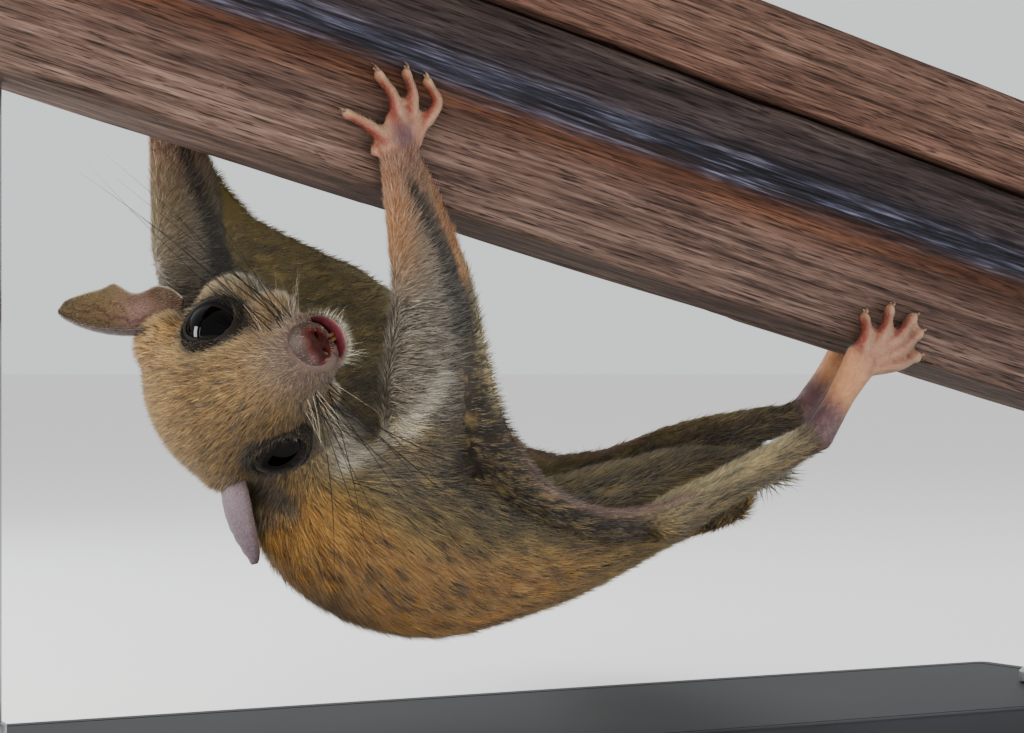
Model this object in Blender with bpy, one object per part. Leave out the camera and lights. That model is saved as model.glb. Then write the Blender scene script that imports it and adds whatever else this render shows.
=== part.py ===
"""A life-size flying squirrel that clings under a cut length of timber, on a plain display stand.

Sizes are in millimetres while the shapes are made, and the finished pieces are brought to metres.
The timber and the body lie along X, the head at -X. The animal hangs belly up, so its back is at
the bottom, its right side faces -Y and its left side faces +Y.
"""

import bmesh
import bpy
import numpy as np
from mathutils import Matrix, Vector

# Driving sizes in millimetres
GAP = 0.3
LEAST_GAP = 0.16
FLESH_VOXEL = 0.8
PAW_VOXEL = 0.42
BASE_LENGTH = 290.0
BASE_WIDTH = 84.0
BASE_HEIGHT = 8.0
ROD_RADIUS = 4.0
ROD_SUNK = 8.0
ROD_HEAD_X = -120.0
ROD_TAIL_X = 136.0
TIMBER_FACES = {"right": -15.0, "left": 7.0}
TIMBER_HEIGHT = 43.0
TIMBER_LENGTH = 280.0
TIMBER_SLOPE = -14.2
TIMBER_UNDERSIDE = 103.5
PLANK_HEIGHT = 20.0
PLANK_THICK = 26.0
EYE_RADIUS = 6.4
EYE_OPENING = (5.7, 4.8)
EYE_FUNNEL = (0.68, 1.75)
EAR_LENGTH = 21.0
EAR_WIDTH = 14.0
TAIL_HALF_WIDTH = 11.5
MIDDLE_X = 0.5 * (ROD_HEAD_X + ROD_TAIL_X)
TIMBER_THICK = TIMBER_FACES["left"] - TIMBER_FACES["right"]
TIMBER_MIDDLE_Y = 0.5 * (TIMBER_FACES["left"] + TIMBER_FACES["right"])

# Head: the middle of the line between the eyes, and the ways that the face, left side and crown point
HEAD_CENTRE = Vector((-69.8, -11.8, 76.1))
FACE_WAY = Vector((0.017, -0.980, 0.196)).normalized()
CROWN_WAY = Vector((-0.898, -0.102, -0.428)).normalized()

# Joints of the limbs: shoulder, elbow and wrist, or hip, knee and ankle
ARMS = {
    "right": ((-30.0, -10.0, 66.0), (-35.0, -19.8, 94.0), (-41.0, -19.6, 121.0)),
    "left": ((-43.0, 12.0, 74.0), (-67.0, 18.5, 98.0), (-74.5, 12.4, 130.0)),
}
LEGS = {
    "right": ((45.0, -6.0, 53.0), (21.0, -18.5, 48.5), (55.7, -19.8, 64.4)),
    "left": ((44.0, 8.0, 55.0), (44.0, 25.0, 58.0), (75.5, 12.6, 69.0)),
}


def timber_underside(x):
    return TIMBER_UNDERSIDE + np.tan(np.radians(TIMBER_SLOPE)) * x


def clear_scene():
    for thing in list(bpy.data.objects):
        bpy.data.objects.remove(thing, do_unlink=True)


def make_object(name, vertices, faces):
    mesh = bpy.data.meshes.new(name)
    mesh.from_pydata([tuple(point) for point in vertices], [], faces)
    mesh.update()
    thing = bpy.data.objects.new(name, mesh)
    bpy.context.scene.collection.objects.link(thing)
    return thing


def apply_modifiers(thing):
    graph = bpy.context.evaluated_depsgraph_get()
    mesh = bpy.data.meshes.new_from_object(thing.evaluated_get(graph))
    thing.modifiers.clear()
    thing.data = mesh
    return thing


def remove_all(things):
    for thing in things:
        bpy.data.objects.remove(thing, do_unlink=True)


def join(name, things):
    """Copy several closed pieces into one mesh and drop the pieces."""
    mesh = bpy.data.meshes.new(name)
    work = bmesh.new()
    for thing in things:
        start = len(work.verts)
        work.from_mesh(thing.data)
        work.verts.ensure_lookup_table()
        bmesh.ops.transform(work, matrix=thing.matrix_basis, verts=work.verts[start:])
    work.to_mesh(mesh)
    work.free()
    joined = bpy.data.objects.new(name, mesh)
    bpy.context.scene.collection.objects.link(joined)
    remove_all(things)
    return joined


def fuse(name, things, voxel, smooth_rounds):
    """Melt overlapping closed pieces into one skin."""
    melted = join(name, things)
    remesh = melted.modifiers.new("melt", "REMESH")
    remesh.mode = "VOXEL"
    remesh.voxel_size = voxel
    soften = melted.modifiers.new("soften", "SMOOTH")
    soften.factor = 0.5
    soften.iterations = smooth_rounds
    return apply_modifiers(melted)


def combine(thing, operand, operation):
    """Boolean of one object with another one, which is then dropped."""
    modifier = thing.modifiers.new(operation, "BOOLEAN")
    modifier.operation = operation
    modifier.solver = "EXACT"
    modifier.object = operand
    apply_modifiers(thing)
    remove_all([operand])
    return thing


def loose_pieces(thing):
    """Vertex numbers of each connected piece."""
    count = len(thing.data.vertices)
    label = np.arange(count)
    edges = np.empty(len(thing.data.edges) * 2, dtype=np.int32)
    thing.data.edges.foreach_get("vertices", edges)
    edges = edges.reshape(-1, 2)
    while True:
        lowest = np.minimum(label[edges[:, 0]], label[edges[:, 1]])
        before = label.copy()
        np.minimum.at(label, edges[:, 0], lowest)
        np.minimum.at(label, edges[:, 1], lowest)
        label = label[label]
        if np.array_equal(before, label):
            break
    return [np.flatnonzero(label == value) for value in np.unique(label)]


def points_of(thing):
    flat = np.empty(len(thing.data.vertices) * 3, dtype=np.float32)
    thing.data.vertices.foreach_get("co", flat)
    return flat.reshape(-1, 3)


def take_piece(thing, numbers, name):
    """A new object from the given vertices of another one."""
    work = bmesh.new()
    work.from_mesh(thing.data)
    wanted = np.zeros(len(work.verts), dtype=bool)
    wanted[numbers] = True
    spare = [vert for vert in work.verts if not wanted[vert.index]]
    bmesh.ops.delete(work, geom=spare, context="VERTS")
    mesh = bpy.data.meshes.new(name)
    work.to_mesh(mesh)
    work.free()
    piece = bpy.data.objects.new(name, mesh)
    bpy.context.scene.collection.objects.link(piece)
    return piece


def keep_largest(thing):
    """Keep the piece with the largest box, without scraps or sealed hollows."""
    pieces = loose_pieces(thing)
    points = points_of(thing)
    sizes = [np.ptp(points[numbers], axis=0).prod() for numbers in pieces]
    name = thing.name
    kept = take_piece(thing, pieces[int(np.argmax(sizes))], name)
    remove_all([thing])
    kept.name = name
    return kept


def mend(thing):
    """Close the pinholes that thinning a dense skin can leave."""
    work = bmesh.new()
    work.from_mesh(thing.data)
    bmesh.ops.triangulate(work, faces=work.faces)
    for _ in range(6):
        bmesh.ops.dissolve_degenerate(work, dist=0.004, edges=work.edges)
        faulty = [edge for edge in work.edges if len(edge.link_faces) != 2]
        if not faulty:
            break
        round_about = {face for edge in faulty for vert in edge.verts for face in vert.link_faces}
        bmesh.ops.delete(work, geom=list(round_about), context="FACES")
        bmesh.ops.delete(work, geom=[vert for vert in work.verts if not vert.link_faces], context="VERTS")
        open_edges = [edge for edge in work.edges if len(edge.link_faces) == 1]
        filled = bmesh.ops.holes_fill(work, edges=open_edges, sides=60)["faces"]
        bmesh.ops.triangulate(work, faces=filled)
    bmesh.ops.recalc_face_normals(work, faces=work.faces)
    work.to_mesh(thing.data)
    work.free()
    return keep_largest(thing)


def thin_out(thing, triangles):
    """Bring a dense skin down to about the given number of triangles."""
    thing.data.calc_loop_triangles()
    present = len(thing.data.loop_triangles)
    decimate = thing.modifiers.new("thin", "DECIMATE")
    decimate.ratio = min(1.0, triangles / present)
    decimate.use_collapse_triangulate = True
    return mend(apply_modifiers(thing))


def swollen_copy(thing, clearance):
    copy = thing.copy()
    copy.data = thing.data.copy()
    bpy.context.scene.collection.objects.link(copy)
    swell = copy.modifiers.new("swell", "DISPLACE")
    swell.direction = "NORMAL"
    swell.mid_level = 0.0
    swell.strength = clearance
    return apply_modifiers(copy)


def cut_clear(thing, neighbours, clearance=GAP):
    """Cut an object clear of its neighbours by the gap that touching pieces keep."""
    for neighbour in neighbours:
        combine(thing, swollen_copy(neighbour, clearance), "DIFFERENCE")
    return keep_largest(thing)


def course(stations, steps):
    """Smooth rows of numbers along their own chord length."""
    rows = np.array(stations, dtype=float)
    chord = np.linalg.norm(np.diff(rows[:, :3], axis=0), axis=1)
    place = np.concatenate([[0.0], np.cumsum(chord)])
    slope = np.gradient(rows, place, axis=0)
    wanted = np.linspace(0.0, place[-1], steps)
    spot = np.clip(np.searchsorted(place, wanted, side="right") - 1, 0, len(rows) - 2)
    span = (place[spot + 1] - place[spot])[:, None]
    t = (wanted - place[spot])[:, None] / span
    start, end = rows[spot], rows[spot + 1]
    lead, trail = slope[spot] * span, slope[spot + 1] * span
    return (
        (2 * t**3 - 3 * t**2 + 1) * start
        + (t**3 - 2 * t**2 + t) * lead
        + (3 * t**2 - 2 * t**3) * end
        + (t**3 - t**2) * trail
    )


def unit(vector):
    return vector / np.linalg.norm(vector)


def tube(name, stations, depth_way, steps=24, sides=20):
    """A tube with round ends, from rows of x, y, z, half width and half depth."""
    rows = course(stations, steps)
    centres = rows[:, :3]
    tangents = np.gradient(centres, axis=0)
    turn = np.linspace(0.0, 2.0 * np.pi, sides, endpoint=False)
    rings = []

    def add_ring(centre, tangent, half_width, half_depth):
        width_axis = unit(np.cross(depth_way, tangent))
        depth_axis = unit(np.cross(tangent, width_axis))
        ring = centre + np.outer(np.cos(turn) * half_width, width_axis)
        rings.append(ring + np.outer(np.sin(turn) * half_depth, depth_axis))

    first, last = unit(tangents[0]), unit(tangents[-1])
    for angle in np.radians((72.0, 48.0, 24.0)):
        reach = min(rows[0, 3:5]) * np.sin(angle)
        add_ring(centres[0] - first * reach, first, *(rows[0, 3:5] * np.cos(angle)))
    for row, tangent in zip(rows, tangents):
        add_ring(row[:3], unit(tangent), row[3], row[4])
    for angle in np.radians((24.0, 48.0, 72.0)):
        reach = min(rows[-1, 3:5]) * np.sin(angle)
        add_ring(centres[-1] + last * reach, last, *(rows[-1, 3:5] * np.cos(angle)))
    poles = [centres[0] - first * min(rows[0, 3:5]), centres[-1] + last * min(rows[-1, 3:5])]
    vertices = np.concatenate(rings + [np.array(poles)])
    faces = []
    for ring in range(len(rings) - 1):
        for side in range(sides):
            a = ring * sides + side
            b = ring * sides + (side + 1) % sides
            faces.append((a, b, b + sides, a + sides))
    near_pole, far_pole = len(rings) * sides, len(rings) * sides + 1
    top = (len(rings) - 1) * sides
    for side in range(sides):
        follow = (side + 1) % sides
        faces.append((near_pole, follow, side))
        faces.append((far_pole, top + side, top + follow))
    return make_object(name, vertices, faces)


def ball(name, centre, radii, turn=Matrix.Identity(3), divisions=3):
    """An ellipsoid with its own turn."""
    mesh = bpy.data.meshes.new(name)
    work = bmesh.new()
    frame = Matrix.Translation(centre) @ turn.to_4x4() @ Matrix.Diagonal((*radii, 1.0))
    bmesh.ops.create_icosphere(work, subdivisions=divisions, radius=1.0, matrix=frame)
    work.to_mesh(mesh)
    work.free()
    thing = bpy.data.objects.new(name, mesh)
    bpy.context.scene.collection.objects.link(thing)
    return thing


def axes_from(forward, up_hint):
    """Turn whose third axis is forward and whose second axis leans to the hint."""
    third = Vector(forward).normalized()
    first = Vector(up_hint).cross(third).normalized()
    second = third.cross(first)
    return Matrix((first, second, third)).transposed()


def rod(name, start, end, radii, sides=24, end_radii=None, up_hint=(0.0, 0.0, 1.0)):
    """A straight elliptical rod or cone between two points."""
    start, end = Vector(start), Vector(end)
    turn = axes_from(end - start, up_hint)
    end_radii = end_radii or radii
    vertices = []
    for centre, (wide, deep) in ((start, radii), (end, end_radii)):
        for angle in np.linspace(0.0, 2.0 * np.pi, sides, endpoint=False):
            vertices.append(centre + turn @ Vector((wide * np.cos(angle), deep * np.sin(angle), 0.0)))
    faces = [tuple(range(sides - 1, -1, -1)), tuple(range(sides, 2 * sides))]
    for side in range(sides):
        follow = (side + 1) % sides
        faces.append((side, follow, follow + sides, side + sides))
    return make_object(name, vertices, faces)


def block(name, centre, size, turn=Matrix.Identity(3), bevel=0.0):
    """A box with its own turn and softened edges."""
    mesh = bpy.data.meshes.new(name)
    work = bmesh.new()
    frame = Matrix.Translation(centre) @ turn.to_4x4() @ Matrix.Diagonal((*size, 1.0))
    bmesh.ops.create_cube(work, size=1.0, matrix=frame)
    if bevel:
        bmesh.ops.bevel(work, geom=list(work.edges), offset=bevel, segments=2, affect="EDGES", profile=0.5)
    work.to_mesh(mesh)
    work.free()
    thing = bpy.data.objects.new(name, mesh)
    bpy.context.scene.collection.objects.link(thing)
    return thing


def sheet(name, rows):
    """A thin closed sheet from a grid of middle points and half thicknesses, alike on both faces."""
    grid = np.array(rows, dtype=float)
    middle, half = grid[:, :, :3], grid[:, :, 3:4]
    along = np.gradient(middle, axis=0)
    across = np.gradient(middle, axis=1)
    normal = np.cross(along, across)
    normal /= np.linalg.norm(normal, axis=2, keepdims=True)
    count, width = middle.shape[:2]
    faces_out = [(middle + normal * half).reshape(-1, 3), (middle - normal * half).reshape(-1, 3)]
    vertices = np.concatenate(faces_out)
    under = count * width
    faces = []
    for i in range(count - 1):
        for j in range(width - 1):
            a, b = i * width + j, i * width + j + 1
            c, d = b + width, a + width
            faces += [(a, d, c), (a, c, b)]
            faces += [(under + a, under + c, under + d), (under + a, under + b, under + c)]
    rim = [(i, 0) for i in range(count)] + [(count - 1, j) for j in range(1, width)]
    rim += [(i, width - 1) for i in range(count - 2, -1, -1)] + [(0, j) for j in range(width - 2, 0, -1)]
    numbers = [i * width + j for i, j in rim]
    for a, b in zip(numbers, numbers[1:] + numbers[:1]):
        faces += [(a, under + a, under + b), (a, under + b, b)]
    thing = make_object(name, vertices, faces)
    work = bmesh.new()
    work.from_mesh(thing.data)
    bmesh.ops.recalc_face_normals(work, faces=work.faces)
    work.to_mesh(thing.data)
    work.free()
    return thing


# Head

LEFT_WAY = CROWN_WAY.cross(FACE_WAY).normalized()
CROWN_TRUE = FACE_WAY.cross(LEFT_WAY).normalized()
HEAD_TURN = Matrix((FACE_WAY, LEFT_WAY, CROWN_TRUE)).transposed()

# Rows of forward place, half width, crown height and chin depth from the line between the eyes
HEAD_PROFILE = (
    (-23.0, 11.0, 8.0, 7.0),
    (-18.5, 15.8, 11.8, 10.0),
    (-12.0, 17.8, 13.8, 12.0),
    (-5.5, 16.0, 13.0, 12.8),
    (0.5, 13.1, 10.8, 13.0),
    (6.0, 11.0, 7.8, 13.2),
    (11.0, 8.8, 4.2, 13.4),
    (15.5, 7.0, 0.6, 13.2),
    (18.3, 5.2, -2.0, 11.8),
)
EYE_PLACE = Vector((-0.7, 11.3, -0.7))
EYE_NORMAL = Vector((0.42, 0.80, 0.42)).normalized()
EYE_CORNER_LINE = Vector((-0.92, 0.38, 0.20)).normalized()
NOSE_TIP = Vector((21.0, 0.0, -5.6))
MOUTH_HEIGHT = -10.6
# The turn of the neck pushes the left cheek out and draws the right one in
LEFT_FULLER = 1.2

# Lumps of the cheeks and whisker pads: forward, side and crown place, then their half sizes
FACE_LUMPS = (
    ((14.2, 3.5, -7.2), (5.6, 4.0, 4.2)),
    ((-5.0, 12.2, -8.2), (9.4, 7.4, 7.6)),
    ((4.5, 8.4, -9.0), (7.5, 5.0, 5.2)),
    ((-14.0, 13.2, 3.0), (7.0, 5.8, 7.0)),
)


def head_place(forward, left, crown):
    """World place of a point given along the face, the left side and the crown."""
    return HEAD_CENTRE + HEAD_TURN @ Vector((forward, left, crown))


def mirrored(vector, side):
    return Vector((vector[0], side * vector[1], vector[2]))


def eye_centre(side):
    return HEAD_CENTRE + HEAD_TURN @ mirrored(EYE_PLACE, side)


def head_core():
    stations = []
    for forward, wide, crown, chin in HEAD_PROFILE:
        centre = head_place(forward, 0.0, 0.5 * (crown - chin))
        stations.append((*centre, wide, 0.5 * (crown + chin)))
    pieces = [tube("skull", stations, np.array(CROWN_TRUE), steps=30, sides=28)]
    for side in (1, -1):
        pieces.append(ball("lid ball", eye_centre(side), [EYE_RADIUS + 0.9] * 3))
        for place, radii in FACE_LUMPS:
            centre = head_place(place[0], side * place[1] + LEFT_FULLER, place[2])
            pieces.append(ball("lump", centre, radii, HEAD_TURN))
    pieces.append(ball("jaw", head_place(13.0, 0.0, -12.8), (6.6, 4.8, 3.4), HEAD_TURN))
    nose = head_place(NOSE_TIP[0] - 1.6, NOSE_TIP[1], NOSE_TIP[2])
    pieces.append(ball("nose", nose, (1.8, 3.0, 2.0), HEAD_TURN))
    return pieces


def head_half_width(forward, crown):
    """Half width of the muzzle at a forward place and height."""
    rows = np.array(HEAD_PROFILE)
    wide, top, bottom = (np.interp(forward, rows[:, 0], rows[:, k]) for k in (1, 2, 3))
    middle, half = 0.5 * (top - bottom), 0.5 * (top + bottom)
    return wide * np.sqrt(max(0.0, 1.0 - ((crown - middle) / half) ** 2))


def mouth_cutter():
    """A thin crescent that cuts the line of the mouth round the muzzle."""
    corner, front = 7.5, 17.2
    angles = np.linspace(0.0, 0.5 * np.pi, 8)
    forwards = corner + (front - corner) * np.sin(angles)
    widths = [max(head_half_width(f, MOUTH_HEIGHT) - 1.0, 0.0) for f in forwards[:-1]] + [0.0]
    inner = list(zip(forwards, widths)) + [(f, -w) for f, w in zip(forwards[-2::-1], widths[-2::-1])]
    outer = [(corner + (f - corner) * 1.5, w * 1.5 + np.sign(w) * 3.0) for f, w in inner]
    count = len(inner)
    rows = []
    for k, ((f0, w0), (f1, w1)) in enumerate(zip(inner, outer)):
        half = 0.22 + 0.48 * np.sin(np.pi * k / (count - 1)) ** 4
        height = MOUTH_HEIGHT + 0.4 * half
        rows.append([(*head_place(f0, w0, height), half), (*head_place(f1, w1, height), half)])
    return sheet("mouth", rows)


def carve_head(head):
    """Cut the eye sockets, lids, nostrils and mouth."""
    cutters = [mouth_cutter()]
    for side in (1, -1):
        centre = eye_centre(side)
        normal = HEAD_TURN @ mirrored(EYE_NORMAL, side)
        corners = HEAD_TURN @ mirrored(EYE_CORNER_LINE, side)
        upward = normal.cross(corners)
        cutters.append(ball("socket", centre, [EYE_RADIUS + GAP] * 3))
        narrow = [EYE_FUNNEL[0] * size for size in EYE_OPENING]
        wide = [EYE_FUNNEL[1] * size for size in EYE_OPENING]
        cutters.append(rod("opening", centre, centre + normal * 14.0, narrow, 20, wide, upward))
        nostril = head_place(NOSE_TIP[0] - 1.2, side * 1.7, NOSE_TIP[2] - 0.2)
        cutters.append(ball("nostril", nostril, (1.5, 0.85, 0.7), HEAD_TURN, 2))
    for cutter in cutters:
        combine(head, cutter, "DIFFERENCE")
    return keep_largest(head)


# Each ear: its root, the way of its length and the way its cup faces, as forward, outward and crown
EARS = {
    "left": (1, (-14.0, 16.8, 4.0), (-0.58, 0.61, 0.54), (0.80, 0.60, 0.00)),
    "right": (-1, (-13.0, 13.0, 4.2), (-0.26, 0.95, 0.18), (0.20, 0.30, -0.90)),
}


def ear(side, root_place, way, cup_way):
    """A thin cupped ear, its root sunk in the head."""
    length_axis = (HEAD_TURN @ mirrored(way, side)).normalized()
    cup_axis = HEAD_TURN @ mirrored(cup_way, side)
    cup_axis = (cup_axis - length_axis * cup_axis.dot(length_axis)).normalized()
    across_axis = length_axis.cross(cup_axis)
    root = HEAD_CENTRE + HEAD_TURN @ mirrored(root_place, side)
    rows = []
    for t in np.linspace(-0.14, 0.985, 11):
        free = max(t, 0.0)
        swell = 0.58 + 0.42 * np.sin(0.5 * np.pi * min((t + 0.14) / 0.64, 1.0))
        taper = (1.0 - max((t - 0.5) / 0.5, 0.0) ** 2.2) ** 0.6
        breadth = 0.5 * EAR_WIDTH * swell * taper
        curl = np.radians(105.0 - 62.0 * free)
        radius = breadth / np.sin(min(curl, 0.5 * np.pi))
        half = 0.62 - 0.24 * free
        row = []
        for angle in np.linspace(-curl, curl, 9):
            place = root + length_axis * (EAR_LENGTH * t)
            place += across_axis * (radius * np.sin(angle))
            place += cup_axis * (radius * (1.0 - np.cos(angle)) - 2.0 * free**2)
            row.append((*place, half))
        rows.append(row)
    return sheet("ear", rows)


def incisors():
    """The upper front teeth, seen where the lips part."""
    root = head_place(17.8, 0.0, -9.0)
    tip = head_place(18.8, 0.0, -11.3)
    return rod("incisors", root, tip, (1.15, 0.55), 12, (0.95, 0.3), up_hint=FACE_WAY)


# Trunk, limbs and tail

# Rows of X, Y, Z, half width and half height
TRUNK = (
    (-53.0, 1.5, 62.0, 12.0, 13.0),
    (-46.0, 0.5, 54.4, 15.5, 18.0),
    (-36.0, 0.0, 48.5, 17.0, 20.2),
    (-21.0, 0.0, 45.0, 17.0, 20.2),
    (-1.0, 0.0, 43.4, 15.5, 14.2),
    (22.0, 0.0, 49.2, 13.0, 11.0),
    (42.0, 0.0, 55.2, 10.5, 8.2),
    (49.0, 0.5, 57.0, 7.5, 6.0),
)
NECK = (
    (-49.0, 1.0, 60.0, 13.0, 13.0),
    (-57.0, 3.0, 67.0, 12.5, 12.5),
    (-65.0, 5.0, 74.0, 11.5, 11.5),
)
TAIL = (
    (47.0, 1.0, 57.0, 5.5, 5.0),
    (58.5, 6.0, 57.5, 6.5, 4.6),
    (66.0, 22.0, 56.5, 9.5, 5.0),
    (73.0, 50.0, 53.5, TAIL_HALF_WIDTH, 5.6),
    (80.0, 85.0, 49.5, TAIL_HALF_WIDTH, 5.6),
    (88.0, 115.0, 49.0, 10.5, 5.2),
    (96.0, 134.0, 50.5, 7.5, 4.0),
)
# Half width and half depth at the root, middle, joint, middle and end of each limb
ARM_SIZES = {
    "right": ((10.5, 7.0), (10.0, 6.0), (8.0, 4.7), (5.8, 4.1), (4.2, 3.3)),
    "left": ((9.5, 7.0), (9.0, 6.0), (8.2, 5.0), (7.4, 4.4), (5.4, 3.5)),
}
THIGH_SIZES = ((6.5, 6.0), (6.0, 5.4), (4.6, 4.2))
SHANK_SIZES = ((4.6, 4.2), (4.2, 3.8), (3.5, 3.4))
LIMB_SIDES = {"right": -1, "left": 1}
SIDEWAYS = np.array((0.0, 1.0, 0.0))
UPWARD = np.array((0.0, 0.0, 1.0))


def lerp(start, end, share):
    return np.array(start) + (np.array(end) - np.array(start)) * share


def spread_rows(start, end, sizes):
    """Rows of a tube from start to end, its sizes spread evenly along it."""
    shares = np.linspace(0.0, 1.0, len(sizes))
    return [(*lerp(start, end, share), *size) for share, size in zip(shares, sizes)]


def arm_rows(side):
    shoulder, elbow, wrist = ARMS[side]
    upper = spread_rows(shoulder, elbow, ARM_SIZES[side][:3])
    lower = spread_rows(elbow, wrist, ARM_SIZES[side][2:])
    return upper + lower[1:]


def flesh():
    """All the flesh in one skin."""
    pieces = head_core()
    pieces.append(tube("trunk", TRUNK, UPWARD, steps=36, sides=32))
    pieces.append(tube("neck", NECK, UPWARD, steps=14, sides=24))
    pieces.append(tube("tail", TAIL, UPWARD, steps=46, sides=20))
    for side in ARMS:
        hip, knee, ankle = LEGS[side]
        pieces.append(tube("arm", arm_rows(side), SIDEWAYS, steps=30, sides=18))
        pieces.append(tube("thigh", spread_rows(hip, knee, THIGH_SIZES), SIDEWAYS, steps=12, sides=18))
        pieces.append(tube("shank", spread_rows(knee, ankle, SHANK_SIZES), SIDEWAYS, steps=14, sides=18))
    return fuse("flesh", pieces, FLESH_VOXEL, 8)


def part_by_region(whole, name, region):
    """Take what lies inside a region off the whole, with the gap that touching pieces keep."""
    piece = whole.copy()
    piece.data = whole.data.copy()
    piece.name = name
    bpy.context.scene.collection.objects.link(piece)
    combine(whole, swollen_copy(region, GAP), "DIFFERENCE")
    combine(piece, region, "INTERSECT")
    return keep_largest(piece)


def limb_region(start, end, size):
    """A round-ended rod that holds one length of a limb."""
    return tube("region", spread_rows(start, end, (size, size)), SIDEWAYS, steps=6, sides=24)


def box_between(start, end, width, sideways=(0.0, 1.0, 0.0)):
    """A long box from start to end."""
    start, end = Vector(start), Vector(end)
    length = (end - start).length
    return block("region", (start + end) / 2, (width, width, length), axes_from(end - start, sideways))


def part_flesh(whole):
    """Part the skin into its named lengths."""
    nodes = {}

    def take(name, region):
        nodes[name] = part_by_region(whole, name, region)

    take("head", ball("region", head_place(-1.0, 0.0, 0.0), (30.0, 24.0, 19.0), HEAD_TURN, 4))
    for side in ARMS:
        shoulder, elbow, wrist = ARMS[side]
        beyond = lerp(elbow, wrist, 1.5)
        whole_hand = box_between(wrist, beyond, 24.0)
        remove_all([part_by_region(whole, "scrap", whole_hand)])
        take(f"{side}_forearm", box_between(elbow, wrist, 24.0))
        take(f"{side}_upper_arm", limb_region(lerp(shoulder, elbow, 0.42), elbow, (13.0, 10.0)))
        hip, knee, ankle = LEGS[side]
        beyond = lerp(knee, ankle, 1.5)
        remove_all([part_by_region(whole, "scrap", box_between(ankle, beyond, 14.0))])
        take(f"{side}_shank", limb_region(knee, ankle, (5.6, 5.2)))
        take(f"{side}_thigh", limb_region(lerp(hip, knee, 0.15), knee, (7.5, 6.9)))
    take("neck", ball("region", (-57.0, 3.5, 66.0), (17.0, 17.0, 17.0), divisions=4))
    spots = [row[:3] for row in TAIL]
    marks = [lerp(spots[6], spots[5], -1.0), spots[5], lerp(spots[4], spots[3], 0.15), spots[2]]
    marks.append(lerp(spots[0], spots[1], 0.75))
    for number in range(4):
        name = f"tail_{4 - number}"
        take(name, box_between(marks[number], marks[number + 1], 34.0, (0.0, 0.0, 1.0)))
    take("rump", box_between((90.0, 0.0, 56.0), (27.0, 0.0, 56.0), 60.0))
    take("belly", box_between((27.0, 0.0, 50.0), (-8.0, 0.0, 50.0), 70.0))
    nodes["chest"] = keep_largest(whole)
    nodes["chest"].name = "chest"
    return nodes


# Hands and feet

FINGER_RADIUS = 1.3
TOE_RADIUS = 1.5
CLAW_RADIUS = 0.5
CLAW_CLEARANCE = 0.35

# Each finger: its knuckle from the wrist along X and Z, the ways of its two halves from +Z, its length
FINGERS = (
    (-3.6, 3.6, -58.0, -56.0, 7.4),
    (0.2, 7.0, -16.0, -24.0, 9.0),
    (3.2, 7.6, 0.0, 0.0, 8.4),
    (6.6, 6.8, 30.0, -12.0, 8.4),
)
# Each toe: its root from the ball of the foot, the ways of its two halves from +Z, its length
TOES = (
    (-0.5, 1.8, 22.0, 16.0, 7.6),
    (2.0, 2.4, 44.0, 34.0, 10.8),
    (3.2, 1.6, 62.0, 54.0, 14.0),
    (3.4, -0.2, 70.0, 62.0, 14.6),
    (2.4, -2.0, 84.0, 74.0, 14.0),
)
# Place of the ball of the foot from the ankle
FOOT_BALL = (15.0, 1.1, 17.2)


def digit_rows(root, side, first, second, length, radius):
    """Rows of a finger or toe that arches off the wood and comes down on its tip."""
    outward = LIMB_SIDES[side]
    half = 0.5 * length
    steps = [np.array((np.sin(np.radians(way)), 0.0, np.cos(np.radians(way)))) for way in (first, second)]
    knee = root + steps[0] * half + SIDEWAYS * outward * 0.5
    face = TIMBER_FACES[side] + outward * (CLAW_CLEARANCE + radius)
    tip = knee + steps[1] * half
    tip[1] = face
    return [
        (*root, radius * 1.25, radius * 1.15),
        (*knee, radius, radius),
        (*lerp(knee, tip, 0.8), radius * 0.95, radius * 0.9),
        (*tip, radius * 1.1, radius * 0.95),
    ], steps[1]


def claw(tip, way, side, radius):
    """A small hooked claw from a finger tip down to the wood."""
    outward = LIMB_SIDES[side]
    start = np.array(tip) + way * radius * 0.2
    bend = np.array(tip) + way * radius * 1.9
    bend[1] -= outward * 0.1
    point = np.array(tip) + way * radius * 2.5
    point[1] = TIMBER_FACES[side] + outward * CLAW_CLEARANCE
    rows = [(*start, 0.75, 0.75), (*bend, CLAW_RADIUS, CLAW_RADIUS), (*point, 0.22, 0.22)]
    return tube("claw", rows, SIDEWAYS, steps=5, sides=6)


def hand(side):
    """Palm, four fingers, thumb nub and claws, cut flat at the wrist."""
    outward = LIMB_SIDES[side]
    _, elbow, wrist = (np.array(joint) for joint in ARMS[side])
    stub_sizes = (lerp(*ARM_SIZES[side][3:], 0.6), ARM_SIZES[side][4])
    stub = spread_rows(lerp(elbow, wrist, 0.8), wrist, stub_sizes)
    palm_end = wrist + np.array((2.0, -outward * 0.9, 6.2))
    pieces = [tube("stub", stub, SIDEWAYS, steps=6, sides=18)]
    palm_rows = [
        (*wrist, *ARM_SIZES[side][4]),
        (*lerp(wrist, palm_end, 0.5), 4.4, 2.6),
        (*palm_end, 4.8, 2.1),
    ]
    pieces.append(tube("palm", palm_rows, SIDEWAYS, steps=6, sides=18))
    thumb = wrist + np.array((-4.2, -outward * 1.4, 0.6))
    pieces.append(ball("thumb", thumb, (1.5, 1.3, 1.6)))
    claws = []
    for along, up, first, second, length in FINGERS:
        root = wrist + np.array((along, -outward * 0.8, up))
        rows, way = digit_rows(root, side, first, second, length, FINGER_RADIUS)
        pieces.append(tube("finger", rows, SIDEWAYS, steps=12, sides=12))
        claws.append(claw(rows[-1][:3], way, side, FINGER_RADIUS))
    melted = fuse(f"{side}_hand", pieces, PAW_VOXEL, 3)
    behind = box_between(lerp(elbow, wrist, 0.3), lerp(elbow, wrist, 1.0), 20.0)
    combine(melted, swollen_copy(behind, 2.0 * GAP), "DIFFERENCE")
    remove_all([behind])
    return melted, claws


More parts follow.
